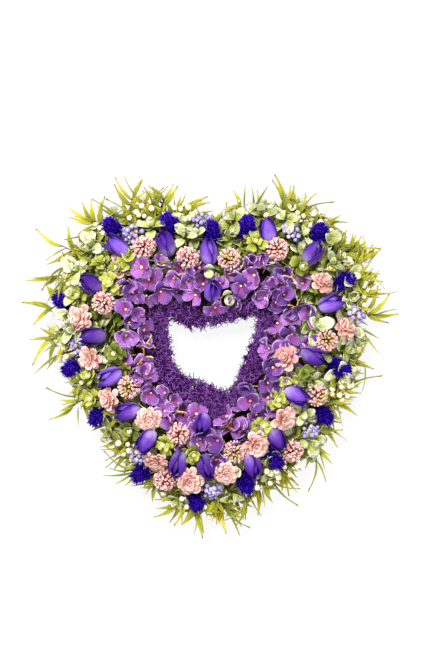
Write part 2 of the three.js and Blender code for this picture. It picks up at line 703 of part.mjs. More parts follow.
// Fringe: fans of slim leaves on a wire along the foam's outer wall
for (let k = 0; k < sectors; k++) {
  const { wire, footOf } = lay((k + 0.04) / sectors, (k + 0.96) / sectors, [1.035]);
  const held = (k + 0.5) / sectors;
  const pieces = [wire, (grow) => stem(ringPoint(held, 1.04, 8), ringPoint(held, 0.93, 8), grow)];
  for (const { centre, round, aim, id } of inSector(fringes, k, 0)) {
    centre.z = 15 + 4 * draw(id, 12);
    const leaves = [-2, -1, 0, 1, 2].map((leaf) => ({
      angle: 36 * leaf + 7 * draw(id * 5 + leaf, 13),
      length: slimLeaf.length * (1.05 - 0.1 * Math.abs(leaf) + 0.12 * draw(id * 5 + leaf, 14)),
      rise: Math.max(5 + 8 * draw(id * 5 + leaf, 15), lowestLeaf - centre.z),
    }));
    const outline = leafOutline(leaves, slimLeaf.width, 3.2);
    const foot = footOf(round, centre);
    pieces.push(
      (grow) => stem(foot, centre, grow),
      (grow) => fan(outline, slimLeaf.thickness, centre, aim, grow),
    );
  }
  node(`fringe_spray_${k + 1}`, 0x7f8a33, 0.6, pieces);
}

// Moss pads on the foam's inner wall
const mossSection = [
  [-0.05, 28], [-0.17, 21], [-0.18, 10], [-0.12, 2], [-0.02, 1], [0, 9], [0.04, 19], [0.07, 26],
];
for (let k = 0; k < mossPads; k++) {
  const bump = (ring, spoke) => 0.14 * draw(k * 100 + ring * 8 + spoke, 16);
  const pad = () => arcBody((k + 0.02) / mossPads, (k + 0.98) / mossPads, 5, mossSection, bump, 0);
  node(`moss_pad_${k + 1}`, 0x4a2470, 0.95, [pad]);
}

// The back lies on z = 0 with the middle of the whole wreath over the origin.
const bounds = new THREE.Box3().setFromObject(wreath);
const middle = bounds.getCenter(new THREE.Vector3());
wreath.position.set(-middle.x, -middle.y, -bounds.min.z);

export default wreath;
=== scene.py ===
from math import atan2, copysign, cos, degrees, floor, hypot, pi, radians, sin, sqrt

import bpy
import numpy as np
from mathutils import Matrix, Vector


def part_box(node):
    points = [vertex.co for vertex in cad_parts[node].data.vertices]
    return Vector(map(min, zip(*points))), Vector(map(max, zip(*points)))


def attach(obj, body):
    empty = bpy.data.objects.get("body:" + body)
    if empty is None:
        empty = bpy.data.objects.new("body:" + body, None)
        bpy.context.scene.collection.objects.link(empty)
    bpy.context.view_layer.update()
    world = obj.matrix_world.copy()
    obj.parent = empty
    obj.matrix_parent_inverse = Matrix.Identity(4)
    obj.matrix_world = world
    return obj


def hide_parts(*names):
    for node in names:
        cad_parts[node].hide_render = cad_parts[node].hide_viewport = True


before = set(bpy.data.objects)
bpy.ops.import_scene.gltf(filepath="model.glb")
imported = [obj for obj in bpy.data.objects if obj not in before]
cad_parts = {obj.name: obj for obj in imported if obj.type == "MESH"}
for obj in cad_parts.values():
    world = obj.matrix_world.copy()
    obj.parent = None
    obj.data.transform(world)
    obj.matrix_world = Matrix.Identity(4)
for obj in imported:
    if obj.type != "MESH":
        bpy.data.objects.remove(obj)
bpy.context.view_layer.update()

# Sizes of the ring and of the flowers
FOAM_WIDTH = 86
CROWN_HEIGHT, CROWN_FALL, CROWN_REACH = 44, 34, 75
TULIP_LENGTH, TULIP_RADIUS = 31, 8.8
GRASS_LENGTH, GRASS_RADIUS = 27, 9.2
PETAL_LENGTH = 13.5
LILAC_RADIUS, BERRY_REACH = 11.5, 7.5
SECTORS = 8
MOSS_PADS = 5
MM = 0.001
GOLDEN_ANGLE = 137.508
# Nothing reaches lower than this over the floor
LOWEST = 0.6

# Half of each edge of the foam ring, from the top notch to the tip, and the ring's upper outline
# as share of its width and height
INNER_EDGE = [
    (0, 45), (16, 47), (32, 54), (47, 58), (55, 48), (57, 30),
    (54, 6), (44, -16), (28, -40), (13, -57), (0, -67),
]
OUTER_EDGE = [
    (0, 131), (28, 134), (58, 143), (92, 140), (124, 114), (142, 66),
    (137, -8), (114, -62), (84, -104), (44, -138), (0, -152),
]
FOAM_TOP = [(1, 6), (0.86, 18), (0.62, 25), (0.38, 25), (0.14, 18), (0, 6)]

# Blooms of each group: x, y and, where they are needed, the heading in degrees and a lift
TULIPS = [
    [(-135, 70, 150), (-102, 111, 152)],
    [(-51, 121, 120), (-5, 111, 92), (0, 70, 90)],
    [(56, 134, 100), (106, 109, 60)],
    [(129, 59, 25), (111, 3, -20)],
    [(91, -48, -35), (66, -85, -58)],
    [(39, -121, -78), (-5, -126, -65)],
    [(-36, -121, -110), (-12, -75, -100), (-69, -96, -125)],
    [(-93, -59, 190), (-111, -24, 202), (-129, 19, 180)],
]
GRASSES = [
    [(-158, 59, 155), (-111, 134, 135)],
    [(-50, 139, 118), (2, 132, 93), (34, 135, 78)],
    [(114, 131, 65), (143, 75, 18)],
    [(138, -8, -20), (114, -60, -40)],
    [(67, -107, -58), (29, -133, -72), (-17, -152, -86)],
    [(-77, -125, -145), (-124, -64, -125), (-154, -11, -148)],
]
TUBES = [
    [(-119, 58), (-73, 119)],
    [(-24, 107), (15, 106), (69, 115)],
    [(124, 14), (113, -48)],
    [(85, -105), (23, -106)],
    [(-53, -130), (-44, -90), (-92, -35)],
]
DAHLIAS = [
    [(-143, 40), (-108, 99, None, -12)],
    [(119, 76), (141, 27)],
    [(78, -4), (79, -70)],
    [(48, -97), (11, -126)],
    [(-23, -135), (-53, -111)],
    [(-71, -68), (-112, -49), (-132, -2)],
]
LILACS = [
    [(-90, 130), (-10, 144)],
    [(84, 134), (153, 48)],
    [(104, -77), (2, -149)],
    [(-81, -106), (-148, 12)],
]
# Small-leaved sprigs round a bud: x, y
BOXES = [
    (-144, 66), (-118, 99), (-107, 85), (-105, 2), (-133, -23), (-127, -49), (-54, -100), (-25, -108),
    (53, -81), (73, -51), (98, -21), (96, 98), (49, 126),
]
# Sprigs of broad pale leaves: x, y, heading
BROADS = [
    (-147, 92, 150), (-134, 108, 130), (-64, 140, 100), (-31, 128, 80), (16, 128, 70), (94, 158, 70),
    (128, 97, 40), (106, 36, 10), (146, 60, 20), (139, 2, -10), (95, -66, -50), (22, -142, -80),
    (-38, -151, -110), (-113, -82, -150), (-162, 26, 170),
]
# Sprigs of cream berries: x, y
BERRIES = [
    (-122, 133), (-72, 152), (-30, 152), (60, 150), (118, 146), (152, 100), (160, 14), (135, -40),
    (62, -130), (-12, -166), (-90, -104), (-162, -2),
]
# Sprays of slim leaves at the outer edge: x, y, heading
FRINGES = [
    (-160, 117, 180), (-128, 144, 160), (-82, 170, 100), (-49, 168, 88), (-24, 156, 0), (34, 160, 120),
    (82, 163, 95), (156, 108, 70), (170, 100, 65), (168, 88, -10), (173, 66, 15), (176, 42, -10),
    (166, -12, -45), (136, -52, -30), (124, -80, -35), (117, -106, -45), (78, -132, -60), (54, -148, -100),
    (14, -169, -60), (-16, -175, -70), (-34, -164, -130), (-148, -58, -125), (-170, 15, 190), (-175, 46, 175),
    (-168, 84, 190),
]
# Thin arched leaves beyond the others: where each starts, x and y, and its heading
THIN_LEAVES = [
    (-92, -104, 170), (-90, -108, 186), (-88, -125, 176), (-86, -128, 194), (14, -168, -50), (12, -166, -66),
    (152, -10, 52), (148, -36, 48), (-164, 82, 232), (-162, 96, 200), (-128, 128, 170), (-106, 150, 128),
    (-68, 158, 62), (-20, 152, -12), (-16, 150, -28), (44, 158, 60), (96, 154, 50), (150, 92, 25),
    (160, 30, -60), (66, -138, -70), (40, -148, -110), (-142, -44, 200), (-60, -136, -160), (-170, 0, 215),
    (-62, 156, 105), (-54, 154, 132), (-76, 148, 84), (-42, 150, 58), (112, -114, -75), (-86, 144, 110),
]
# Further sprigs of each kind between the others, kept in place however crowded it is there
MORE_BOXES = [
    (-54, 96), (123, 92), (106, 36), (81, -27), (-92, 104), (60, -108), (-88, -82), (136, -30),
    (-117, 94), (-102, 93),
]
MORE_BROADS = [
    (-159, 76, 165), (-129, 118, 120), (-33, 140, 95), (-18, 130, 100), (89, 166, 80), (99, 128, 45),
    (137, 104, 35), (143, 52, 15), (133, -12, -20), (105, -30, -35), (94, -92, -50), (107, -108, -55),
    (-70, -84, -140), (-133, 30, 175), (-165, 16, 180), (-154, 8, 185), (24, -120, -75), (-79, -122, -130),
    (150, 18, 0), (59, -128, -65), (150, 84, 20), (-146, -34, 190), (-110, 120, 130), (40, 150, 95),
]
# Sprigs of larger leaves, darker or paler: x, y, heading, tint
LARGE_SPRIGS = [
    (54, 151, 113, -0.8), (77, 145, 131, -0.5), (22, 144, 140, -0.6), (122, 121, 40, -0.7),
    (-152, 90, 150, 0.5), (-130, 120, 140, 0.3), (-152, 27, 175, 0.5), (148, 84, 20, 0.2),
    (-154, 44, 175, 0.4), (138, -18, -30, 0.4), (104, -92, -45, 0.2), (-148, 66, 170, 0.5),
    (150, 30, -10, 0.4), (110, 30, 30, 0.5),
]
MORE_BERRIES = [
    (135, 134), (143, 124), (155, 97), (160, 74), (159, 58), (102, 154), (89, 157), (26, 160),
    (38, 157), (58, 160), (-150, 104), (-158, 80), (-116, 138), (-84, 146), (-44, 152), (148, -24),
    (142, -40), (-160, 30), (-150, -30), (84, -122), (44, -146), (-36, -160),
]
# Florets: how far apart in a row, how far from the moss the first row is, the share across where
# the last one is, and the steps round the ring at which gaps are filled
FLORET_SPACING, FLORET_INSET, FLORET_REACH = 27, 8, 0.47
FILL_STEPS = 60
# Small-leaved sprigs less far out than this go with the hydrangeas
INNER_REACH = 24
# Share of a sector left free at each end of the beds under the leaves and florets
BED_GAP = 0.03
# Florets that show whole: x, y
SHOWN_FLORETS = [
    (-76, 94), (-94, 22), (-18, 65), (48, 106), (45, 86), (76, 65), (86, 23), (62, 7), (30, 75), (-86, -20),
    (-67, -40), (-45, -52), (-18, -64), (-44, -73), (-27, -83), (-14, -90), (6, -91), (3, -112), (59, -30),
    (40, -49), (38, -34), (64, -13), (16, -67),
]
# Forked stems that show between the florets: x, y, heading
TWIGS = [
    (-54, 87, 60), (-26, 87, 150), (24, 89, 10), (8, 59, 90), (86, 82, 130), (91, 49, 120),
    (-76, -4, 50), (-73, 12, 20), (13, -77, 15), (0, -104, 80), (70, -20, 200), (-40, -62, 40),
]
# Pairs of pale leaves that show between the florets: x, y, heading
PALE_PAIRS = [(-4, 94, -90), (15, 66, -70)]
# Moss: share of the way round from the top notch, rightwards, and how far it reaches into the
# hole and how far it covers the foam there, in millimetres
MOSS_EDGE = np.array([
    (0, 17, 2), (0.033, 15, 2), (0.07, 17, 3), (0.107, 20, 3), (0.148, 10, 3), (0.2, 13, 3), (0.274, 17, 3),
    (0.336, 16, 3), (0.397, 13, 3), (0.43, 13, 4), (0.46, 25, 5), (0.5, 32, 6), (0.547, 29, 9),
    (0.603, 21, 12), (0.664, 4, 14), (0.726, 11, 14), (0.8, 10, 12), (0.852, 13, 6), (0.893, 28, 3),
    (0.93, 27, 2), (0.967, 21, 2), (1, 17, 2),
])


def draw(i, k):
    """A repeatable draw from -1 to 1 for item i, use k."""
    wave = sin(i * 127.1 + k * 311.7) * 43758.5453
    return 2 * (wave - floor(wave)) - 1


class Member:
    """A bloom or sprig, with the room that it needs, its place, its heading and its lift."""

    def __init__(self, room, x, y, aim=None, lift=0):
        self.room, self.x, self.y, self.aim, self.lift = room, x, y, aim, lift
        self.home = (x, y)


def groups_of(groups, room):
    return [[Member(room, *place) for place in group] for group in groups]


def joined(*kinds):
    return [member for groups in kinds for group in groups for member in group]


def spread_out(members, rounds=60, push=0.2, hold=0.03):
    """Moves members that crowd each other a little apart, held back towards home."""
    for _ in range(rounds):
        for i, one in enumerate(members):
            for other in members[i + 1:]:
                dx, dy = other.x - one.x, other.y - one.y
                move = push * max(0, (one.room + other.room) / hypot(dx, dy) - 1)
                one.x -= move * dx
                one.y -= move * dy
                other.x += move * dx
                other.y += move * dy
        for one in members:
            one.x += hold * (one.home[0] - one.x)
            one.y += hold * (one.home[1] - one.y)


def places_of(members):
    return [(member.x, member.y, member.aim) for member in members]


# Each kind with the radius of the room that it needs
tulips, grasses, tubes = groups_of(TULIPS, 11.5), groups_of(GRASSES, 10), groups_of(TUBES, 12)
dahlias, lilacs = groups_of(DAHLIAS, 12.5), groups_of(LILACS, 9.5)
boxes = [Member(8.5, *place) for place in BOXES]
broads = [Member(11, *place) for place in BROADS]
berries = [Member(8, *place) for place in BERRIES]
spread_out(joined(tulips, grasses, tubes, dahlias, lilacs) + boxes + broads + berries)
over_places = places_of(joined(tulips, tubes, dahlias))
showy_places = over_places + places_of(joined(grasses, lilacs))


def near_any(places, x, y, reach):
    return any(hypot(x - place[0], y - place[1]) < reach for place in places)


# Steps of the ring's curves and of the foam ring's outline, and how stems stand in the foam: share
# across, and depth
CURVE_STEPS, FOAM_STEPS = 400, 30
FOOT_SPAN, FOOT_DEPTH = (0.06, 0.96), 1.5


def mirrored(half):
    return np.array([*half, *[(-x, y) for x, y in reversed(half[1:-1])]], float)


def on_curve(points, t):
    """Points of a closed smooth curve at shares t."""
    place = np.asarray(t, float) * len(points)
    i = np.floor(place).astype(int)
    w = (place - i)[..., None]
    p0, p1, p2, p3 = (points[(i + k) % len(points)] for k in (-1, 0, 1, 2))
    a, b = 0.5 * (p2 - p0), 0.5 * (p3 - p1)
    return (2 * p1 - 2 * p2 + a + b) * w**3 + (-3 * p1 + 3 * p2 - 2 * a - b) * w * w + a * w + p1


inner_curve, outer_curve = mirrored(INNER_EDGE), mirrored(OUTER_EDGE)
shares = np.linspace(0, 1, CURVE_STEPS + 1)
centre_line = (on_curve(inner_curve, shares) + on_curve(outer_curve, shares)) / 2
runs = np.concatenate([[0], np.cumsum(np.linalg.norm(np.diff(centre_line, axis=0), axis=1))])
centre_length = runs[-1]


def ring_point(around, across, z=0.0):
    """Points of the ring: share of the way round, share from inner to outer edge, and height."""
    around, across, z = np.broadcast_arrays(np.asarray(around, float), across, z)
    t = np.interp(np.mod(around, 1) * centre_length, runs, shares)
    inner, outer = on_curve(inner_curve, t), on_curve(outer_curve, t)
    return np.concatenate([inner + (outer - inner) * across[..., None], z[..., None]], -1)


def foam_height(across):
    share, height = np.array(sorted(FOAM_TOP)).T
    return np.interp(across, share, height)


def foot_of(around, across):
    """Point just inside the foam's top under a bloom."""
    across = np.clip(across, *FOOT_SPAN)
    return ring_point(around, across, foam_height(across) - FOOT_DEPTH)


class Spot:
    """Where x, y lies on the ring: share round, distance out from the centre line and outward
    heading."""

    def __init__(self, x, y):
        self.x, self.y = x, y
        apart = np.hypot(centre_line[:-1, 0] - x, centre_line[:-1, 1] - y)
        nearest = int(np.argmin(apart))
        t = nearest / CURVE_STEPS
        outward = on_curve(outer_curve, t) - on_curve(inner_curve, t)
        side = np.sign((np.array((x, y)) - centre_line[nearest]) @ outward)
        self.around, self.out = runs[nearest] / centre_length, side * apart[nearest]
        self.heading = degrees(atan2(outward[1], outward[0]))

    def up(self, lift):
        """Point above the flowers' crown, which falls off towards both edges."""
        crown = CROWN_HEIGHT - CROWN_FALL * (self.out / CROWN_REACH) ** 2
        return np.array((self.x, self.y, crown + lift))

    def foot(self, inset):
        """Point in the foam under the spot, moved in by inset."""
        return foot_of(self.around, 0.5 + (self.out - inset) / FOAM_WIDTH)


def sector_of(around):
    return int((around - floor(around)) * SECTORS)


def within(sector, places):
    """Number, place and spot of each place in a sector."""
    for i, place in enumerate(places):
        spot = Spot(*place[:2])
        if sector_of(spot.around) == sector:
            yield i, place, spot


def direction(heading, rise):
    turn, tilt = radians(heading), radians(rise)
    return np.array([cos(tilt) * cos(turn), cos(tilt) * sin(turn), sin(tilt)])


def leaned(along, key, amount):
    """A direction turned by a random amount."""
    way = along + amount * np.array((draw(key, 6), draw(key, 7), 0))
    return way / np.linalg.norm(way)


class Stand:
    """A place to build on: an origin and three axes, the third along a direction."""

    def __init__(self, origin, along, roll=0.0):
        third = np.asarray(along, float) / np.linalg.norm(along)
        upright = np.array([0, 1.0 if abs(third[2]) > 0.999 else 0, 1.0])
        top = upright - (upright @ third) * third
        top /= np.linalg.norm(top)
        side = np.cross(third, top)
        c, s = cos(radians(roll)), sin(radians(roll))
        self.axes = np.array([s * top - c * side, s * side + c * top, third])
        self.origin = np.asarray(origin, float)

    def put(self, points):
        return np.asarray(points) @ self.axes + self.origin


# Nominal middle of the foam ring, which tells where the layout lies in the frame
foam_round = np.linspace(0, 1, FOAM_STEPS, endpoint=False)
foam_outline = np.concatenate([ring_point(foam_round, 0.0), ring_point(foam_round, 1.0)])
foam_low, foam_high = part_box("foam_ring")
foam_middle = (foam_outline.min(0) + foam_outline.max(0)) / 2
SHIFT = (np.array(foam_low) + np.array(foam_high)) / 2 - foam_middle * MM
SHIFT[2] = 0


# Forms: each gives points, faces as lists of point numbers, and the place of each point on it
def grid_faces(index):
    a, b, c, d = index[:-1, :-1], index[1:, :-1], index[1:, 1:], index[:-1, 1:]
    return np.stack([a, b, c, d], -1).reshape(-1, 4)


def grid_places(rows, cols):
    """Place of each point of a grid: share along from 0 to 1, share across from -1 to 1."""
    along, across = np.linspace(0, 1, rows), np.linspace(-1, 1, cols)
    return np.stack(np.meshgrid(along, across, indexing="ij"), -1)


def moved(form, offset, scale=1.0):
    points, faces, place = form
    return points * scale + np.array(offset), faces, place


def thin(grid, thickness):
    """A closed thin body round a grid of points, thick in the middle and sharp at the rim."""
    rows, cols = grid.shape[:2]
    normal = np.cross(np.gradient(grid, axis=0), np.gradient(grid, axis=1))
    normal /= np.linalg.norm(normal, axis=-1, keepdims=True) + 1e-9
    under = grid - normal * thickness / 2
    over = grid + normal * thickness / 2
    for edge in (np.s_[0], np.s_[-1], np.s_[:, 0], np.s_[:, -1]):
        over[edge] = grid[edge]
    top = np.arange(rows * cols).reshape(rows, cols)
    low = top.copy()
    low[1:-1, 1:-1] = rows * cols + np.arange((rows - 2) * (cols - 2)).reshape(rows - 2, -1)
    points = np.concatenate([over.reshape(-1, 3), under[1:-1, 1:-1].reshape(-1, 3)])
    place = grid_places(rows, cols)
    place = np.concatenate([place.reshape(-1, 2), place[1:-1, 1:-1].reshape(-1, 2)])
    return points, [*grid_faces(top).tolist(), *grid_faces(low)[:, ::-1].tolist()], place


def loft(rings):
    """A closed body through rings of points, shape (rings, points, 3)."""
    count, around = rings.shape[:2]
    index = np.arange(count * around).reshape(count, around)
    wrapped = np.concatenate([index, index[:, :1]], 1)
    faces = grid_faces(wrapped)[:, ::-1].tolist()
    faces += [index[0].tolist(), index[-1][::-1].tolist()]
    return rings.reshape(-1, 3), faces, grid_places(count, around).reshape(-1, 2)


def turned(profile, around=8):
    """A round body on the third axis from a profile of radius and height, lowest first."""
    angles = np.linspace(0, 2 * pi, around, endpoint=False)
    ring = np.stack([np.cos(angles), np.sin(angles)], -1)
    rings = [np.concatenate([ring * radius, np.full((around, 1), height)], 1) for radius, height in profile]
    return loft(np.array(rings))


def ball(radius, stretch=1.0, around=10, rings=7):
    turn = np.linspace(-pi / 2, pi / 2, rings + 2)
    profile = [(max(radius * cos(t), radius * 0.12), radius * stretch * sin(t)) for t in turn]
    return turned(profile, around)


def tube(path, radii, around=5):
    """A closed round stem along a path, with one radius or one for each point."""
    path = np.asarray(path, float)
    radii = np.broadcast_to(radii, len(path))
    along = np.gradient(path, axis=0)
    along /= np.linalg.norm(along, axis=1, keepdims=True)
    side = np.cross(along, (0.31, 0.17, 0.93))
    side /= np.linalg.norm(side, axis=1, keepdims=True)
    other = np.cross(along, side)
    angles = np.linspace(0, 2 * pi, around, endpoint=False)[:, None, None]
    rings = path + radii[:, None] * (np.cos(angles) * side + np.sin(angles) * other)
    return loft(rings.transpose(1, 0, 2))


def blade(length, half, rise, cup=0.0, fold=0.0, twist=0.0, ripple=0.0, tip=0.07, cols=5, seed=0):
    """Grid of a petal or leaf along the first axis. half and rise hold the half width and the
    height of each row; cup and fold lift the sides, twist turns the end, ripple waves the rim and
    tip rounds the end, or notches it where it is below 0."""
    half, rise = np.array(half, float)[:, None], np.array(rise, float)[:, None]
    along = np.linspace(0, 1, len(half))[:, None]
    across = np.linspace(-1, 1, cols)
    x = length * (along + tip * (1 - across**2) * (along**4))
    y = half * across
    z = rise + half * (cup * across**2 + fold * np.abs(across)) + twist * (along**2) * y
    wave = np.sin(5.1 * along + 2.3 * across + 3 * draw(seed, 30)) * np.abs(across) ** 2 * along
    return np.stack([x, y, z + ripple * wave], -1)


def rotated(points, angle, a, b):
    """Points turned by an angle in degrees, from axis a towards axis b."""
    c, s = cos(radians(angle)), sin(radians(angle))
    turn = np.eye(3)
    turn[[a, a, b, b], [a, b, a, b]] = c, s, -s, c
    return points @ turn


def new_object(name, data):
    made = bpy.data.objects.new(name, data)
    bpy.context.scene.collection.objects.link(made)
    return made


class Piece:
    """One visible piece, gathered from forms. Materials are numbered in the order of first use."""

    def __init__(self, name):
        self.name = name
        self.points, self.faces, self.places, self.numbers, self.materials = [], [], [], [], []
        self.count = 0

    def add(self, form, material, tint=0.0, stand=None):
        points, faces, place = form
        points = stand.put(points) if stand else np.asarray(points)
        self.gather(points[None], faces, place, material, [tint])

    def scatter(self, form, material, origins, axes, tints):
        """Copies of a form at origins, with axes as rows of a matrix for each copy."""
        points, faces, place = form
        put = np.einsum("ni,mij->mnj", points, axes) + np.asarray(origins)[:, None]
        self.gather(put, faces, place, material, tints)

    def gather(self, copies, faces, place, material, tints):
        if material not in self.materials:
            self.materials.append(material)
        for points in copies:
            self.faces += [[number + self.count for number in face] for face in faces]
            self.count += len(points)
        self.numbers += [self.materials.index(material)] * (len(faces) * len(copies))
        self.points.append(copies.reshape(-1, 3))
        tints = np.repeat(tints, len(place))[:, None]
        self.places.append(np.concatenate([np.tile(place, (len(copies), 1)), tints], 1))

    def make(self, slot, *nodes):
        points = np.concatenate(self.points)
        points[:, 2] = np.maximum(points[:, 2], LOWEST)
        mesh = bpy.data.meshes.new(self.name)
        mesh.from_pydata((points * MM + SHIFT).tolist(), [], self.faces)
        for material in self.materials:
            mesh.materials.append(material)
        mesh.polygons.foreach_set("material_index", self.numbers)
        mesh.shade_smooth()
        marks = mesh.attributes.new("place", "FLOAT_VECTOR", "POINT")
        marks.data.foreach_set("vector", np.concatenate(self.places).astype(np.float32).ravel())
        mesh.validate()
        made = new_object(self.name, mesh)
        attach(made, "root")
        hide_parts(*nodes)


# Materials
def linear(hex_colour):
    """A colour such as 0x8a4fb5 as linear values for a shader."""
    parts = [(hex_colour >> shift & 255) / 255 for shift in (16, 8, 0)]
    return (*[part / 12.92 if part <= 0.04045 else ((part + 0.055) / 1.055) ** 2.4 for part in parts], 1.0)


class Shader:
    """A node material that starts with a principled shader."""

    def __init__(self, name, roughness, gloss=0.2):
        self.material = bpy.data.materials.new(name)
        self.material.use_nodes = True
        self.nodes, self.links = self.material.node_tree.nodes, self.material.node_tree.links
        self.surface = self.nodes["Principled BSDF"].inputs
        self.feed(self.surface["Roughness"], roughness)
        self.feed(self.surface["Specular IOR Level"], gloss)
        self.body = self.node("ShaderNodeTexCoord").outputs["Object"]

    def node(self, kind, inputs=(), **settings):
        made = self.nodes.new(kind)
        for name, value in settings.items():
            setattr(made, name, value)
        for name, value in dict(inputs).items():
            self.feed(made.inputs[name], value)
        return made

    def feed(self, socket, value):
        if isinstance(value, bpy.types.NodeSocket):
            self.links.new(value, socket)
        else:
            socket.default_value = value

    def place(self):
        """Share along, share across and tint, as the piece's points hold them."""
        marks = self.node("ShaderNodeAttribute", attribute_name="place", attribute_type="GEOMETRY")
        return self.node("ShaderNodeSeparateXYZ", {0: marks.outputs["Vector"]}).outputs

    def math(self, operation, a, b=0.0, clamp=False):
        return self.node("ShaderNodeMath", {0: a, 1: b}, operation=operation, use_clamp=clamp).outputs[0]

    def times(self, a, b):
        return self.math("MULTIPLY", a, b)

    def plus(self, a, b, clamp=False):
        return self.math("ADD", a, b, clamp)

    def span(self, value, low, high, to_low=0.0, to_high=1.0):
        made = self.node("ShaderNodeMapRange", {
            "Value": value, "From Min": low, "From Max": high, "To Min": to_low, "To Max": to_high,
        }, interpolation_type="SMOOTHSTEP")
        return made.outputs["Result"]

    def noise(self, vector, scale, detail=3.0):
        made = self.node("ShaderNodeTexNoise", {"Vector": vector, "Scale": scale, "Detail": detail})
        return made.outputs["Fac"]

    def mix(self, factor, a, b, blend="MIX"):
        made = self.node("ShaderNodeMix", {0: factor, 6: a, 7: b}, data_type="RGBA", blend_type=blend)
        return made.outputs[2]

    def ramp(self, value, stops):
        made = self.node("ShaderNodeValToRGB", {"Fac": value})
        elements = made.color_ramp.elements
        while len(elements) < len(stops):
            elements.new(0.5)
        for element, (position, colour) in zip(elements, stops):
            element.position = position
            element.color = linear(colour)
        return made.outputs["Color"]

    def bump(self, height, distance):
        made = self.node("ShaderNodeBump", {"Height": height, "Distance": distance, "Strength": 0.6})
        self.feed(self.surface["Normal"], made.outputs["Normal"])


# Shared measures of the petal and leaf materials: noise scales in the frame and on the petal, how
# much the grain changes along it, across it and between items, how far items lean to the colours of
# vary, the light of the lowest and of the highest tint, where the edge colour is full, and the
# span of the grain that streaks follow, with how much lighter than dark they get
CLOUD_SCALE, LINE_SCALE = 140.0, 3.0
GRAIN_ALONG, GRAIN_ACROSS, GRAIN_BETWEEN = 1.6, 1 / 3, 9.0
VARY_SHARE = 0.6
DIMMEST, BRIGHTEST = 0.72, 1.12
RIM_END = 1.02
STREAK_SPAN, STREAK_LIGHT = (0.3, 0.72), 0.35


def petal_material(name, stops, edge=None, edge_share=0.0, edge_from=0.72, streaks=0.3, stretch=9.0, vary=(),
                   blotch=0.25, roughness=0.55, gloss=0.06, bump=0.0004):
    """Colours along a petal or leaf, an edge colour, streaks along it and changes between items:
    vary holds the colours that items of the lowest and of the highest tint lean to."""
    shader = Shader(name, roughness, gloss)
    along, across, tint = shader.place()
    cloud = shader.math("SUBTRACT", shader.noise(shader.body, CLOUD_SCALE), 0.5)
    wander = shader.times(cloud, blotch)
    colour = shader.ramp(shader.plus(along, wander, clamp=True), stops)
    for limit, other in zip((-1.0, 1.0), vary):
        lean = shader.times(shader.span(tint, 0.0, limit), VARY_SHARE)
        colour = shader.mix(lean, colour, linear(other))
    if edge is not None:
        side = shader.span(shader.plus(shader.math("ABSOLUTE", across), wander), edge_from, RIM_END)
        end = shader.span(shader.plus(along, wander), 0.5 + edge_from / 2, RIM_END)
        rim = shader.times(shader.math("MAXIMUM", side, end), edge_share)
        colour = shader.mix(rim, colour, linear(edge))
    grain = shader.node("ShaderNodeCombineXYZ", {
        0: shader.times(along, GRAIN_ALONG),
        1: shader.times(across, stretch * GRAIN_ACROSS),
        2: shader.times(tint, GRAIN_BETWEEN),
    }).outputs[0]
    lines = shader.noise(grain, LINE_SCALE, 4.0)
    shade = shader.span(lines, *STREAK_SPAN, 1.0 - streaks, 1.0 + streaks * STREAK_LIGHT)
    dim = shader.times(shade, shader.span(tint, -1.0, 1.0, DIMMEST, BRIGHTEST))
    grey = shader.node("ShaderNodeCombineColor", {0: dim, 1: dim, 2: dim}).outputs[0]
    shader.feed(shader.surface["Base Color"], shader.mix(1.0, colour, grey, "MULTIPLY"))
    if bump:
        shader.bump(lines, bump)
    return shader.material


def rough_material(name, colours, scale, roughness=0.9, gloss=0.06, bump=0.0006):
    """A cloudy mix of two or three colours with a matching bump, for solid or fibrous things."""
    shader = Shader(name, roughness, gloss)
    tint = shader.place()[2]
    cloud = shader.plus(shader.noise(shader.body, scale, 5.0), shader.times(tint, 0.12))
    stops = [(0.3 + 0.4 * k / max(1, len(colours) - 1), colour) for k, colour in enumerate(colours)]
    shader.feed(shader.surface["Base Color"], shader.ramp(cloud, stops))
    shader.bump(shader.noise(shader.body, scale * 4, 3.0), bump)
    return shader.material


HYDRANGEA = petal_material(
    "hydrangea_petal",
    [(0.0, 0xb8387e), (0.22, 0xa84a94), (0.48, 0x92509e), (0.8, 0x8e5caa), (1.0, 0xa070bc)],
    edge=0xecd4fa, edge_share=0.95, edge_from=0.8, streaks=0.42, vary=(0x5a3a9c, 0xb272c0), roughness=0.6)
# Each petal runs from a pale foot to deep violet at the tip; its lighter middle and dark sides are painted
# sheen and painted shade
TULIP = petal_material(
    "tulip_petal", [(0.0, 0xdcd4ee), (0.2, 0xac94d4), (0.45, 0x744ab0), (0.72, 0x5624a0), (1.0, 0x300a74)],
    edge=0x3c0a84, edge_share=0.95, edge_from=0.36, streaks=0.35, stretch=12.0, vary=(0x4e1690, 0x8460ca),
    roughness=0.42, gloss=0.18)
# Bracts run from near-black at the foot to lighter violet at the tip: painted shade inside the head and
# painted highlights on the tips
GRASS = petal_material(
    "blue_grass_bract", [(0.0, 0x0e0248), (0.5, 0x240488), (1.0, 0x4a24c0)], streaks=0.3,
    vary=(0x18046a, 0x3a14a8), roughness=0.8, gloss=0.0)
# Tubes are dark at the foot and darker inside the open end: painted shade between the tubes and in their
# openings; the pale rim is their own colour
TUBE = petal_material(
    "pink_tube", [(0.0, 0x883e38), (0.25, 0xe6a098), (0.5, 0xfcd4ce), (0.75, 0xfac6c0), (1.0, 0xc46e66)],
    streaks=0.12, blotch=0.06, vary=(0xe89c90, 0xfce0d8), roughness=0.6, bump=0.0)
# Tan tubes have the same painted shade at the foot and inside the open end
TAN_TUBE = petal_material(
    "tan_tube", [(0.0, 0x5c5820), (0.25, 0xb09c54), (0.5, 0xf0dca4), (0.75, 0xe4c48c), (1.0, 0x8c7434)],
    streaks=0.12, blotch=0.06, roughness=0.6, bump=0.0)
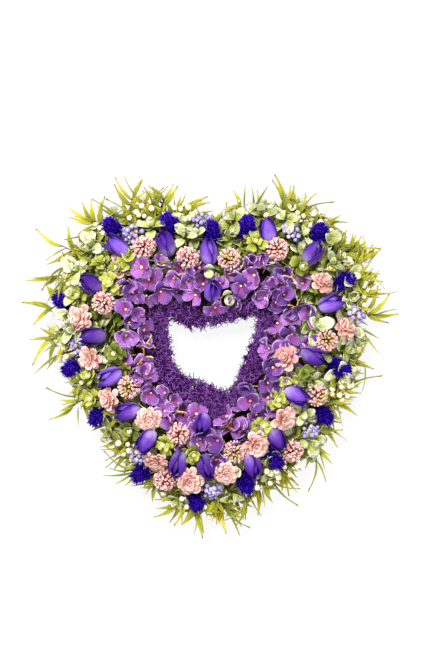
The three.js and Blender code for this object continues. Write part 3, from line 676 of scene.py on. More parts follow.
# Dark core of the tube heads: painted shade between the tubes
PINK_HEAD_SHADE = rough_material("shaded_pink_head_core", [0x38140e, 0x6c342c], 300)
DAHLIA = petal_material(
    "dahlia_petal", [(0.0, 0xa63c3c), (0.26, 0xdc8478), (0.6, 0xf0aea0), (1.0, 0xf4beb0)],
    edge=0xffe8e0, edge_share=0.7, edge_from=0.6, streaks=0.28, vary=(0xe68880, 0xffd4ca), roughness=0.6,
    bump=0.0002)
LILAC = rough_material("lilac_berry", [0x8074b4, 0xa294cc, 0xc8bce4], 160, 0.35, 0.4, 0.0002)
CREAM = rough_material("cream_berry", [0xeacd94, 0xf8e4bc, 0xfff4dc], 90, 0.4, 0.3, 0.0002)
BEAD = rough_material("floret_bead", [0xe4d49c, 0xf8ecc8], 300, 0.45, 0.3, 0.0002)
CREAM_STEM = rough_material("cream_stem", [0x94702c, 0xd0a85c, 0xeed8a0], 160, 0.6)
GREEN_STEM = rough_material("green_stem", [0x4a5a10, 0x7a8628, 0x9ca440], 120, 0.6)
# Leaves run from dark at the foot, where they meet in the middle, to light at the tip: painted shade; the
# pale rim is a painted highlight
BOX_LEAF = petal_material(
    "box_leaf", [(0.0, 0x50640a), (0.3, 0x808e1e), (0.7, 0xa6ac3e), (1.0, 0xbcbc5e)],
    edge=0xccca8c, edge_share=0.7, streaks=0.4, vary=(0x44620e, 0xb8b65c), roughness=0.5, gloss=0.12)
BROAD_LEAF = petal_material(
    "broad_leaf", [(0.0, 0x768816), (0.25, 0xa0ae30), (0.5, 0xbcc260), (0.75, 0xd0d2a4), (1.0, 0xdadab6)],
    edge=0xe6e6d0, edge_share=0.85, edge_from=0.62, streaks=0.45, vary=(0x98a442, 0xe0e0ba), roughness=0.42,
    gloss=0.2, blotch=0.6)
OLIVE_LEAF = petal_material(
    "olive_leaf", [(0.0, 0x6c7e42), (0.4, 0x8a9432), (0.8, 0xaea626), (1.0, 0xc2b224)],
    edge=0xd8ca40, edge_share=0.8, edge_from=0.5, streaks=0.4, vary=(0x6e8244, 0xccbe3a), roughness=0.5)
# Near-black purple bed under the florets and core inside the tulip buds: painted shade in the gaps
FLOWER_SHADE = rough_material("shaded_flowers", [0x180c0a, 0x2e161c, 0x44243a], 120, gloss=0.0, bump=0.002)
# Layer of stems and leaf bases between the sprigs, darker than they are: painted shade in the gaps
SHADED_LEAF_BED = rough_material("shaded_leaves", [0x2a2e08, 0x4e5412, 0x727620], 160, gloss=0.0, bump=0.002)
# Strands run from dark at the root to pale at the tip: painted shade deep in the moss
MOSS = petal_material(
    "moss_strand", [(0.0, 0x3e1658), (0.5, 0x6c3488), (1.0, 0x9c68b8)], streaks=0.35,
    vary=(0x4c1e68, 0x945cb0), roughness=0.9, gloss=0.0, bump=0.0)
# Dark body of the moss under its strands: painted shade in the moss's depth
SHADED_MOSS_CORE = rough_material("shaded_moss_core", [0x1c0a2a, 0x38184e, 0x50286a], 200, gloss=0.0, bump=0.002)
FOAM = rough_material("white_foam", [0xd6d0c8, 0xe6e1da, 0xf2efea], 420, bump=0.0008)


# Flowers
def varied(tint, change):
    return np.clip(tint + change, -1, 1)


def petal_ring(piece, stand, count, first, length, half, rise, material, tint, seed, base=0.0, tilt=0.0,
               thickness=0.6, jitter=(6, 0.07, 6), mottle=0.25, **shape):
    """Petals or leaves evenly turned about the third axis, each a little different: jitter holds the
    most that the turn, the size and the tilt differ by."""
    for i in range(count):
        k = seed * 17 + i
        size = 1 + jitter[1] * draw(k, 31)
        points, faces, place = thin(blade(length * size, half * size, rise, seed=k, **shape), thickness)
        points = rotated(points, tilt + jitter[2] * draw(k, 32), 0, 2) + np.array((base, 0, 0))
        points = rotated(points, first + 360 / count * i + jitter[0] * draw(k, 33), 0, 1)
        piece.add((points, faces, place), material, varied(tint, mottle * draw(k, 34)), stand)


PETAL_HALF = np.array([1.3, 4.8, 6.9, 7.6, 7.4, 5.9, 3.0])
PETAL_ARCH = np.array([0, 0.35, 0.75, 1.0, 1.05, 0.85, 0.35])
PETAL_SCOOP = np.array([0, 0.02, 0.12, 0.35, 0.75, 1.3, 1.9])


def add_floret(piece, stand, seed, size=1.0):
    """Three or four ruffled petals, arched or scooped, round a bead."""
    tint = 0.95 * draw(seed, 41)
    count = 3 if draw(seed, 40) < -0.5 else 4
    scoop = 0.5 + 0.5 * draw(seed, 45)
    rise = (3.4 + 1.4 * draw(seed, 42)) * (PETAL_ARCH * (1 - scoop) + PETAL_SCOOP * scoop)
    petal_ring(
        piece, stand, count, 45, PETAL_LENGTH * size, PETAL_HALF * size, rise, HYDRANGEA, tint, seed,
        base=0.4, tilt=20 + 17 * draw(seed, 43), cup=0.34 + 0.3 * draw(seed, 44), ripple=2.4, cols=7,
        thickness=0.5, jitter=(12, 0.14, 24), mottle=0.7)
    piece.add(moved(ball(1.6 * size, 0.9, 8, 5), (0, 0, 1.6)), BEAD, tint, stand)


# Tulip petals from foot to tip: half the angle that one spans, and their distance from the bud's
# middle as a share of its radius, closed and open
TULIP_SPANS = np.array([72, 71, 69, 66, 61, 54, 45, 33, 20, 6])
TULIP_CLOSED = np.array([0.3, 0.74, 0.94, 1.0, 1.0, 0.96, 0.86, 0.68, 0.45, 0.2])
TULIP_OPEN = np.array([0.3, 0.68, 0.88, 0.97, 1.0, 1.03, 1.03, 0.98, 0.9, 0.82])
TULIP_CORE = turned([(1.2, -1), (4.5, 3), (6.3, 10), (5.5, 17), (2, 22)])


def add_tulip(piece, stand, seed):
    """A bud of three outer and three inner petals on a curved body, more or less open."""
    heights = np.linspace(0, 1, len(TULIP_SPANS))[:, None] ** 0.95
    openness = 0.42 * (1 + draw(seed, 50))
    radii = (TULIP_CLOSED * (1 - openness) + TULIP_OPEN * openness)[:, None]
    across = np.linspace(-1, 1, 9)
    for i in range(6):
        key = seed * 7 + i
        inner = i % 2
        reach = TULIP_LENGTH * (1.0 - 0.1 * inner + 0.05 * draw(key, 51))
        angle = np.radians(60 * i + TULIP_SPANS[:, None] * across + 7 * draw(key, 53))
        # Outer petals flare at their sides, and each petal has a low ridge along its middle
        rim = 0.09 * np.abs(across) ** 3 * (1 - inner)
        ridge = 0.6 * np.exp(-((across / 0.18) ** 2))
        radius = TULIP_RADIUS * (radii * (1 - 0.16 * inner)) * (1 + rim)
        radius = radius + (0.8 + 0.9 * draw(key, 52)) * heights**3 + ridge * np.sin(np.pi * heights)
        height = np.broadcast_to(heights * reach, radius.shape)
        grid = np.stack([radius * np.cos(angle), radius * np.sin(angle), height], -1)
        piece.add(thin(grid[:, ::-1], 0.7), TULIP, varied(draw(seed, 54), 0.4 * draw(key, 55)), stand)
    # A dark core inside the bud: painted shade where the petals part
    piece.add(TULIP_CORE, FLOWER_SHADE, 0, stand)


def scale_form(length, half, thickness):
    """A pointed scale along the third axis, with a ridge on its outer side."""
    points = np.array([
        (0, 0, 0), (0.2 * thickness, half, 0.45 * length), (thickness, 0, 0.42 * length),
        (0.2 * thickness, -half, 0.45 * length), (0.9 * thickness, 0, length),
        (-0.3 * thickness, 0, 0.4 * length),
    ])
    faces = [[0, 2, 1], [0, 3, 2], [1, 2, 4], [2, 3, 4], [0, 1, 5], [0, 5, 3], [1, 4, 5], [5, 4, 3]]
    return points, faces, points[:, 2:0:-1] / (length, half)


def axes_along(directions, outward):
    """Matrices whose third row lies along directions and whose first row leans outward."""
    third = directions / np.linalg.norm(directions, axis=1, keepdims=True)
    first = outward - (outward * third).sum(1, keepdims=True) * third
    first /= np.linalg.norm(first, axis=1, keepdims=True) + 1e-9
    return np.stack([first, np.cross(third, first), third], 1)


BRACT = scale_form(7.8, 1.25, 0.9)
GRASS_CORE = turned([(2, 0), (5, 4), (6.2, 10), (5.8, 16), (3.4, 21), (1, 24)], 10)


def add_grass_head(piece, stand, seed, count=250):
    """An egg-shaped head of short bracts that stand off its core."""
    rng = np.random.default_rng(seed + 600)
    i = np.arange(count)
    share = (i + 0.5) / count
    angle = np.radians(GOLDEN_ANGLE * i)
    full = GRASS_RADIUS * np.sin(np.pi * (0.12 + 0.8 * share)) ** 0.55
    out = np.stack([np.cos(angle), np.sin(angle), 0 * angle], -1)
    height = GRASS_LENGTH * (0.02 + 0.8 * share) + rng.normal(0, 0.4, count)
    base = out * (0.6 * full)[:, None] + np.stack([0 * share, 0 * share, height], -1)
    # Bracts lean out at the foot of the head and stand up at its tip
    lean = 0.95 - 0.75 * share + rng.normal(0, 0.18, count)
    way = out * lean[:, None] + np.array((0, 0, 1.0)) * (0.45 + 0.5 * share[:, None])
    way = way + rng.normal(0, 0.1, (count, 3))
    axes = axes_along(way @ stand.axes, out @ stand.axes)
    piece.scatter(BRACT, GRASS, stand.put(base), axes, rng.uniform(-1, 1, count))
    # The core takes the darkest tint: painted shade under the bracts
    piece.add(GRASS_CORE, GRASS, -1, stand)


SMALL_TUBE = turned([(0.5, 0), (0.62, 2.6), (1.25, 4.9), (0.95, 5.2), (0.35, 4.6)], 5)
TUBE_HEAD = np.array((6.9, 6.9, 6.0))


def add_tube_head(piece, stand, seed, count=150):
    """A round head of small open tubes on a dark core, painted shade between them, on some with tan tubes in
    the middle.
    """
    i = np.arange(count)
    # Spread evenly over most of a ball, then shaken a little
    polar = np.arccos(1 - 1.62 * (i + 0.5) / count)
    angle = np.radians(GOLDEN_ANGLE * i)
    way = np.stack([np.sin(polar) * np.cos(angle), np.sin(polar) * np.sin(angle), np.cos(polar)], -1)
    way = way + 0.13 * np.stack([np.sin(i * 3.7 + seed), np.sin(i * 5.3), np.sin(i * 7.9)], -1)
    base = way * TUBE_HEAD * (1 + 0.05 * np.sin(i * 2.9 + seed))[:, None]
    tints = np.sin(i * 78.233 + seed)
    tan_reach = 0.55 if draw(seed, 71) > 0.2 else 0.0
    tan = polar < tan_reach * (1 + 0.4 * np.sin(i * 4.1))
    axes = axes_along(way @ stand.axes, np.roll(way, 1, 1) @ stand.axes)
    for chosen, material in ((tan, TAN_TUBE), (~tan, TUBE)):
        if chosen.any():
            piece.scatter(SMALL_TUBE, material, stand.put(base[chosen]), axes[chosen], tints[chosen])
    # The dark core: painted shade in the gaps between the tubes
    piece.add(ball(7.3, 0.86, 12, 8), PINK_HEAD_SHADE, 0, stand)


SPOON_HALF = np.array([0.9, 1.5, 2.5, 3.6, 4.3, 4.4, 3.1])
SPOON_RISE = np.array([0, 0.2, 0.5, 0.8, 0.9, 0.9, 0.8])
# Layers of a dahlia, open or full: petals, length, width, tilt, height and cup
OPEN_DAHLIA = [
    (7, 13.6, 1.1, 6, -1.8, 0.4), (6, 11.4, 1.0, 28, -0.6, 0.5), (5, 8.4, 0.8, 50, 0.4, 0.6),
    (4, 5.4, 0.55, 70, 1.2, 0.5),
]
FULL_DAHLIA = [
    (9, 12.8, 0.95, 2, -1.8, 0.4), (9, 11.4, 0.9, 19, -0.6, 0.45), (8, 9.6, 0.8, 36, 0.4, 0.5),
    (6, 7.6, 0.7, 54, 1.2, 0.5), (4, 5.4, 0.6, 72, 1.6, 0.5),
]
DAHLIA_CORE = turned([(1, -4.5), (4, -3), (4.2, -0.5), (2.2, 1.5), (0.6, 2.4)])


def add_dahlia(piece, stand, seed):
    size = 1.05 + 0.08 * draw(seed, 81)
    full = draw(seed, 84) > 0
    for n, (count, length, wide, tilt, low, cup) in enumerate(FULL_DAHLIA if full else OPEN_DAHLIA):
        petal_ring(
            piece, stand, count, 17 * n + 50 * draw(seed, 82), length * size, SPOON_HALF * wide * size,
            low + SPOON_RISE * size, DAHLIA, 0.5 * draw(seed, 83), seed * 5 + n, base=0.5, tilt=tilt,
            cup=cup, ripple=1.2 if full else 0.5, cols=7, jitter=(12, 0.12, 13), mottle=0.6)
    piece.add(DAHLIA_CORE, DAHLIA, -0.5, stand)


def add_lilac_cluster(piece, stand, seed, count=15):
    """A flat cluster of berries, each on its own thin stem."""
    for i in range(count):
        key = seed * 31 + i
        turn = radians(GOLDEN_ANGLE * i + 90 * draw(seed, 91))
        spread = LILAC_RADIUS * sqrt((i + 0.4) / count) + 1.2 * draw(key, 95)
        height = 8.5 - 0.04 * spread**2 + 2.2 * draw(key, 92)
        tip = np.array((spread * cos(turn), spread * sin(turn), height))
        berry = moved(ball(1, 1, 10, 6), tip, 2.35 + 0.6 * draw(key, 93))
        piece.add(berry, LILAC, draw(key, 94), stand)
        path = [(0, 0, -1), tip * (0.4, 0.4, 0.45), tip * (0.9, 0.9, 0.95)]
        piece.add(tube(path, (0.7, 0.45, 0.4), 4), CREAM_STEM, 0, stand)


LEAF_RISE = np.array([0, 0.4, 0.9, 1.1, 1.0, 0.8, 0.5])
BOX_HALF = np.array([0.6, 1.6, 3.0, 4.4, 5.2, 5.0, 3.3])
# Layers of a box sprig: leaves, length, tilt and height
BOX_LAYERS = [(3, 9.4, 38, 1.5), (4, 11.6, 14, -1.5), (4, 12, -12, -5.5)]


def add_box_sprig(piece, stand, seed):
    """Layers of small cupped leaves with notched ends, on most round a cream bud."""
    tint = 0.1 + 0.8 * draw(seed, 101)
    # Each lower layer of leaves gets a tint 0.35 lower: painted shade under the layers above
    for n, (count, length, tilt, low) in enumerate(BOX_LAYERS):
        petal_ring(
            piece, stand, count, 50 * n + 60 * draw(seed, 102), length, BOX_HALF, low + LEAF_RISE,
            BOX_LEAF, tint - 0.35 * n, seed * 7 + n, base=1.0, tilt=tilt, cup=0.32, fold=0.1, tip=-0.1,
            cols=7, jitter=(22, 0.2, 20), mottle=0.4)
    if draw(seed, 104) > -0.5:
        piece.add(moved(ball(2.8, 1.15, 8, 6), (0, 0, 3.8)), CREAM, draw(seed, 103), stand)


BROAD_HALF = np.array([0.7, 2.8, 4.6, 5.5, 5.5, 4.6, 2.6])
# Pairs of leaves of a broad sprig: length, tilt and height
BROAD_PAIRS = [(11, 55, 4), (15.5, 27, 0.5), (16.5, 4, -3.5)]


def add_broad_sprig(piece, stand, seed, size=1.0, lean=0.0):
    """Pairs of oval leaves, each pair turned from the one above. lean adds to their tint."""
    tint = lean + 0.6 * draw(seed, 111)
    for n, (length, tilt, low) in enumerate(BROAD_PAIRS):
        petal_ring(
            piece, stand, 2, 80 * n + 50 * draw(seed, 112), length * size, BROAD_HALF * size * length / 16,
            low + 1.5 * LEAF_RISE, BROAD_LEAF, tint, seed * 7 + n, base=0.6, tilt=tilt, cup=0.2, fold=0.1,
            ripple=0.7, cols=7, jitter=(24, 0.12, 20), mottle=0.5)


def add_berries(piece, stand, seed, count):
    for i in range(count):
        key = seed * 13 + i
        turn = radians(360 / count * i + 25 * draw(key, 121))
        reach = BERRY_REACH + 2.0 * draw(key, 122)
        tip = np.array((reach * cos(turn), reach * sin(turn), 3 + 2.5 * draw(key, 123)))
        berry = moved(ball(1, 1.05, 10, 6), tip, 3.0 + 0.5 * draw(key, 124))
        piece.add(berry, CREAM, draw(key, 125), stand)
        piece.add(tube([(0, 0, -2), tip * 0.5, tip * 0.8], (0.8, 0.6, 0.5), 4), GREEN_STEM, 0, stand)


LANCE_HALF = np.array([0.25, 0.68, 0.96, 1.0, 0.86, 0.62, 0.35, 0.05])
LANCE_RISE = np.array([0, 0.2, 0.42, 0.6, 0.76, 0.88, 0.96, 1.0])
LANCE_SHARES = np.linspace(0, 1, len(LANCE_HALF))


def slim_leaf(piece, start, heading, length, rise, width, seed, tint=0.0, curve=0.0):
    """A slim leaf from a point, arched, folded along its middle and bent to one side."""
    arch = LANCE_RISE * rise + 2.2 * np.sin(LANCE_SHARES * pi) * (1 + 0.5 * draw(seed, 131))
    twist = 0.3 * draw(seed, 132)
    grid = blade(length, LANCE_HALF * width / 2, arch, fold=0.35, twist=twist, cols=5, seed=seed)
    grid[..., 1] += (length * (curve + 0.24 * draw(seed, 133)) * LANCE_SHARES**2)[:, None]
    points, faces, place = thin(grid, 0.5)
    tint = varied(tint, 0.6 * draw(seed, 134))
    piece.add((rotated(points, heading, 0, 1) + start, faces, place), OLIVE_LEAF, tint)


# Leaves of a slim spray: share of the stem, and turn in degrees
SPRAY_LEAVES = [
    (0.4, -52), (0.5, 48), (0.66, -50), (0.74, 54), (0.86, -42), (0.91, 38), (0.97, -20), (1.0, 10),
]


def add_slim_spray(piece, foot, tip, aim, seed, length, width, tint=0.0):
    """A bent stem from foot to tip with slim leaves round one heading, closest at its end."""
    run = tip - foot
    bow = 0.14 * draw(seed, 161) * np.array((-run[1], run[0], 0)) + np.array((0, 0, 2.5))
    t = np.linspace(0, 1, 7)
    path = foot + run * t[:, None] + bow * np.sin(pi * t)[:, None]
    piece.add(tube(path, np.linspace(0.9, 0.6, 7), 4), GREEN_STEM)
    side = 1 if draw(seed, 166) > 0 else -1
    curve = copysign(0.34, draw(seed, 168)) + 0.14 * draw(seed, 169)
    for n, (share, turn) in enumerate(SPRAY_LEAVES):
        key = seed * 11 + n
        if draw(key, 167) < -0.45:
            continue
        start = np.array([np.interp(share, t, path[:, axis]) for axis in range(3)])
        reach = length * (0.76 + 0.22 * share + 0.26 * draw(key, 162))
        rise = max(5 + 7 * draw(key, 163), 2 - start[2])
        leaf_width, leaf_tint = width * (1 + 0.2 * draw(key, 165)), tint + 0.7 * share - 0.5
        heading = aim + side * turn + 14 * draw(key, 164)
        slim_leaf(piece, start, heading, reach, rise, leaf_width, key + 1000, leaf_tint, curve)


def add_stem(piece, start, end, radius=1.0, material=GREEN_STEM):
    t = np.linspace(0, 1, 5)
    path = np.outer(1 - t, start) + np.outer(t, end)
    piece.add(tube(path, np.linspace(radius, radius * 0.8, 5)), material)


def add_twig(piece, centre, heading):
    """A forked cream stem, as it shows between florets."""
    fork = centre + 2 * direction(heading, 10)
    add_stem(piece, centre - 9 * direction(heading, 30), fork, 1.3, CREAM_STEM)
    for side in (-42, 36):
        tip = fork + 8 * direction(heading + side, 12)
        add_stem(piece, fork, tip, 1.0, CREAM_STEM)
        add_stem(piece, tip, tip + 3 * direction(heading + 1.8 * side, 5), 0.8, CREAM_STEM)


def add_sprig(piece, add, key, stand, foot, radius=1.0, drop=0.0, **options):
    """A bloom or sprig, and its stem from drop below it down to a foot in the foam."""
    add(piece, stand, key, **options)
    add_stem(piece, stand.origin - drop * stand.axes[2], foot, radius)


def tulip_rise(out):
    """Buds on the inner half of the ring stand steeper."""
    return 45 if -30 < out < 0 else 22


def bloom_pieces(name, slot, groups, add, lift, rise, inset, seed=0, lean=0.0, back=0.0, roll=0, use=1,
                 radius=1.3, drop=0.0):
    """One piece for each group of blooms. lift is their height over the crown, and rise gives how
    steeply they stand at a distance out; lean is their random lean, back lies between the middle of
    a bloom and its root, roll and use are its random roll and the draw for it, seed is added to the
    number of each bloom for its draws, inset moves the stem's foot in, radius is the stem's, and
    drop is how far below the root the stem starts."""
    for g, group in enumerate(groups):
        piece = Piece(f"{name}_{g + 1}_dressed")
        for index, member in enumerate(group):
            key = g * 5 + index
            spot = Spot(member.x, member.y)
            aim = spot.heading if member.aim is None else member.aim
            along = leaned(direction(aim, rise(spot.out)), key, lean)
            stand = Stand(spot.up(lift + member.lift) - back * along, along, roll * draw(key, use))
            add_sprig(piece, add, key + seed, stand, spot.foot(inset), radius, drop)
        piece.make(slot, f"{name}_{g + 1}")


bloom_pieces(
    "tulip_spray", "tulip", tulips, add_tulip, 6, tulip_rise, 12,
    seed=300, lean=0.12, back=TULIP_LENGTH / 2, roll=180, radius=1.5, drop=-1.5)
bloom_pieces(
    "blue_grass", "blue_grass", grasses, add_grass_head, 2, lambda out: 30, 16,
    back=GRASS_LENGTH / 2, drop=-2)
bloom_pieces(
    "pink_tube_heads", "pink_tube", tubes, add_tube_head, 5, lambda out: 90 - out, 4,
    lean=0.3, back=1.5, drop=4.5)
bloom_pieces(
    "pink_dahlias", "pink_petal", dahlias, add_dahlia, 6, lambda out: 88 - out, 4,
    seed=100, lean=0.4, roll=90, use=2, drop=3)
bloom_pieces(
    "lilac_berries", "lilac_berry", lilacs, add_lilac_cluster, 5, lambda out: 50, 8,
    back=6, roll=36, radius=1.2)

# Hydrangea florets: those that show whole, then rows in an upper and a lower layer, and fillers in
# the gaps that are left. Rows and fillers keep clear of other blooms
def moss_at(around):
    """How far the moss reaches into the hole, and how far it covers the foam, in millimetres."""
    turn, reach, cover = MOSS_EDGE.T
    around = np.mod(around, 1)
    clumps = 2.2 * np.sin(2 * pi * 23 * around) + 1.8 * np.sin(2 * pi * 41 * around + 1)
    return np.interp(around, turn, reach) + clumps, np.interp(around, turn, cover)


def floret_line(around, share):
    """Share across the ring at a share of the way from the moss to the blooms."""
    first = (moss_at(around)[1] + FLORET_INSET) / FOAM_WIDTH
    return first + (FLORET_REACH - first) * share


florets = []
taken_places = []
# Least distances of a floret from blooms and from other florets, how much less they are in the
# lower layer, and the least distance from forked stems, then the first two again for fillers
BLOOM_GAP, FLORET_GAP, LAYER_EASE, TWIG_GAP = 11, 14, 5, 6
FILL_BLOOM_GAP, FILL_FLORET_GAP = 7, 12
SHOWN_SEED, FILL_SEED = 500, 600


def place_floret(key, x, y, layer):
    spot = Spot(x, y)
    florets.append((key, spot, spot.up(3.2 * draw(key, 5) - 6 * layer), layer))
    taken_places.append((x, y))


def is_free(x, y, from_bloom, from_floret):
    return not near_any(over_places, x, y, from_bloom) and not near_any(taken_places, x, y, from_floret)


for i, (x, y) in enumerate(SHOWN_FLORETS):
    place_floret(SHOWN_SEED + i, x, y, 0)
for row, share in enumerate((0, 0.5, 1)):
    count = round(centre_length * (0.68 + 0.22 * share) / FLORET_SPACING)
    for i in range(count):
        for layer in (0, 1):
            key = row * 100 + i + 50 * layer
            around = (i + 0.5 * (row % 2) + 0.5 * layer + 0.3 * draw(key, 3)) / count
            x, y, _ = ring_point(around, floret_line(around, share) + 0.04 * draw(key, 4) + 0.05 * layer)
            ease = LAYER_EASE * layer
            if layer == 0 and near_any(TWIGS, x, y, TWIG_GAP):
                continue
            if is_free(x, y, BLOOM_GAP - ease, FLORET_GAP - ease):
                place_floret(key, x, y, layer)
for i in range(FILL_STEPS):
    for j, share in enumerate((0, 0.33, 0.67, 1)):
        around = (i + 0.5 * (j % 2)) / FILL_STEPS
        x, y, _ = ring_point(around, floret_line(around, share))
        if is_free(x, y, FILL_BLOOM_GAP, FILL_FLORET_GAP):
            place_floret(FILL_SEED + 4 * i + j, x, y, 1)


def bed(piece, start, end, material, section, rough, seed, rings=14):
    """A closed rough body along the ring. section gives shares across and heights at a place."""
    rng = np.random.default_rng(seed)
    rows = []
    for share in np.linspace(0, 1, rings):
        around = start + (end - start) * share
        corners = on_curve(np.array(section(around), float), np.linspace(0, 1, 24, endpoint=False))
        middle = corners.mean(0)
        full = max(sin(pi * share) ** 0.3, 0.15)
        ring = middle + (corners - middle) * full * (1 + rough * rng.uniform(-1, 1, (len(corners), 1)))
        rows.append(ring_point(around, ring[:, 0], np.maximum(ring[:, 1], 1)))
    piece.add(loft(np.array(rows)), material)


# Stems of florets keep this share of the way round from the ends of their bed
STEM_GAP = 0.022


def flower_core(around):
    low = 0.07 + moss_at(around)[1] / FOAM_WIDTH / 2
    return [(0.42, 28), (0.34, 34), (low + 0.1, 34), (low, 28), (low, 21), (0.3, 25)]


def hydrangea_bunch(k):
    piece = Piece(f"hydrangea_bunch_{k + 1}_dressed")
    start, end = (k + BED_GAP) / SECTORS, (k + 1 - BED_GAP) / SECTORS
    # A dark bed under the florets: painted shade in the gaps between them
    bed(piece, start, end, FLOWER_SHADE, flower_core, 0.12, k)
    for key, spot, centre, layer in florets:
        if sector_of(spot.around) == k:
            along = leaned(direction(spot.heading, 90 - spot.out), key, 0.7)
            size = 1.03 + 0.15 * draw(key, 9) - 0.05 * layer
            add_floret(piece, Stand(centre, along, 90 * draw(key, 8)), key, size)
            inside = np.clip(spot.around % 1, start + STEM_GAP, end - STEM_GAP)
            add_stem(piece, centre - along * 0.5, ring_point(inside, 0.26, 28), 0.8, CREAM_STEM)
    for _, (_, _, heading), spot in within(k, TWIGS):
        add_twig(piece, spot.up(2), heading)
    for i, (_, _, heading), spot in within(k, PALE_PAIRS):
        petal_ring(
            piece, Stand(spot.up(4), direction(heading, 50), 90), 2, 0, 12, BROAD_HALF, 2 * LEAF_RISE,
            BROAD_LEAF, 0.7, i + 700, tilt=35, cup=0.2, mottle=0.3)
        add_stem(piece, spot.up(4), ring_point(spot.around, 0.3, 28), 0.8)
    for i, _, spot in within(k, places_of(boxes)):
        if spot.out < INNER_REACH:
            stand = Stand(spot.up(4), leaned(direction(spot.heading, 88 - spot.out), i, 0.3))
            add_sprig(piece, add_box_sprig, i, stand, foot_of(spot.around, 0.35), drop=8)
    piece.make("hydrangea", f"hydrangea_bunch_{k + 1}")


# Leafy sprays, with a low layer of leaves that covers the foam between them. Its rows: share across
# the ring, height over the foam and number of sprigs to a sector
UNDERGROWTH = [
    (0.52, 7, 9), (0.64, 7, 10), (0.76, 8, 11), (0.88, 9, 12), (0.98, 10, 12), (1.07, 11, 10), (1.16, 10, 7),
]
# Rows further out than FAR_OUT leave out the lower part of the heart, between two shares of the way
# round, and two of three sprigs further out than SLIM_FROM have slim leaves
FAR_OUT, TIP_FROM, TIP_TO, SLIM_FROM = 1.1, 0.28, 0.78, 0.8


def add_undergrowth(piece, k, row, across, lift, count):
    for i in range(count):
        key = k * 100 + row * 15 + i
        around = (k + (i + 0.5 + 0.4 * draw(key, 151)) / count) / SECTORS
        if across > FAR_OUT and TIP_FROM < around < TIP_TO:
            continue
        point = ring_point(around, across + 0.05 * draw(key, 152))
        point[2] = foam_height(min(across, 1)) + lift + 3 * draw(key, 153)
        heading = Spot(*point[:2]).heading
        stand = Stand(point, leaned(direction(heading, 60 - 35 * across), key, 0.6), 180 * draw(key, 155))
        kind = (row + i) % 3
        if kind and across > SLIM_FROM:
            for n in range(3):
                turn = heading + 50 * (n - 1) + 30 * draw(key, 157)
                length, curve = 19 + 3 * draw(key, 158), 0.35 * draw(key, 159)
                slim_leaf(piece, point, turn, length, 6, 4.6, key * 3 + n, -0.6, curve)
        elif kind:
            # Box leaves of this low layer get a tint 0.3 lower: painted shade under the sprigs above
            petal_ring(
                piece, stand, 4, 0, 11.5, BOX_HALF, 2 * LEAF_RISE, BOX_LEAF, draw(key, 156) - 0.3, key,
                tilt=25, cup=0.3, tip=-0.1, jitter=(20, 0.15, 20), mottle=0.5)
        else:
            petal_ring(
                piece, stand, 3, 0, 14, BROAD_HALF, 2 * LEAF_RISE, BROAD_LEAF, 0.6 * draw(key, 156), key,
                tilt=25, cup=0.2, jitter=(20, 0.15, 20), mottle=0.5)
        add_stem(piece, point, foot_of(around, across), 0.7)


def leaf_core(around):
    return [(1.0, 15), (0.9, 26), (0.7, 31), (0.5, 32), (0.44, 28), (0.5, 24), (0.8, 18)]


def leafy_spray(k):
    piece = Piece(f"leafy_spray_{k + 1}_dressed")
    # A dark bed between the sprigs: stems and leaf bases with painted shade
    bed(piece, (k + BED_GAP) / SECTORS, (k + 1 - BED_GAP) / SECTORS, SHADED_LEAF_BED, leaf_core, 0.1, 90 + k)
    for i, _, spot in within(k, places_of(boxes) + MORE_BOXES):
        extra = i >= len(boxes)
        if extra or spot.out >= INNER_REACH:
            along = leaned(direction(spot.heading, 88 - spot.out), i, 0.45)
            stand = Stand(spot.up(-1 if extra else 3), along)
            add_sprig(piece, add_box_sprig, i, stand, spot.foot(8), drop=8)
    for i, (x, y, aim), spot in within(k, places_of(broads) + MORE_BROADS):
        extra = i >= len(broads)
        if not near_any(showy_places, x, y, 11 if extra else 7):
            along = leaned(direction(aim, 78 - 0.8 * spot.out), i, 0.45)
            stand = Stand(spot.up(-3 if extra else -1), along, 90 * draw(i, 141))
            add_sprig(piece, add_broad_sprig, i, stand, spot.foot(10), size=1 - 0.08 * extra)
    for i, (_, _, aim, lean), spot in within(k, LARGE_SPRIGS):
        stand = Stand(spot.up(0), direction(aim, 55), 60 * draw(i, 146))
        add_sprig(piece, add_broad_sprig, i + 90, stand, spot.foot(10), size=1.2, lean=lean)
    for i, _, spot in within(k, places_of(berries)):
        stand = Stand(spot.up(0), direction(spot.heading, 55), 30 * draw(i, 12))
        add_sprig(piece, add_berries, i, stand, spot.foot(12), 0.9, count=5)
    for i, _, spot in within(k, MORE_BERRIES):
        stand = Stand(spot.up(1), direction(spot.heading, 55), 90 * draw(i, 145))
        add_sprig(piece, add_berries, i + 100, stand, foot_of(spot.around, 0.9), 0.8, count=3)
    for row, (across, lift, count) in enumerate(UNDERGROWTH):
        add_undergrowth(piece, k, row, across, lift, count)
    piece.make("pale_leaf", f"leafy_spray_{k + 1}")


# Fringe: longer sprays of slim leaves, with single leaves and short sprays between them
SHORT_SPRAYS = 5
FRINGE_SHIFT = np.array((-5, 2, 0))


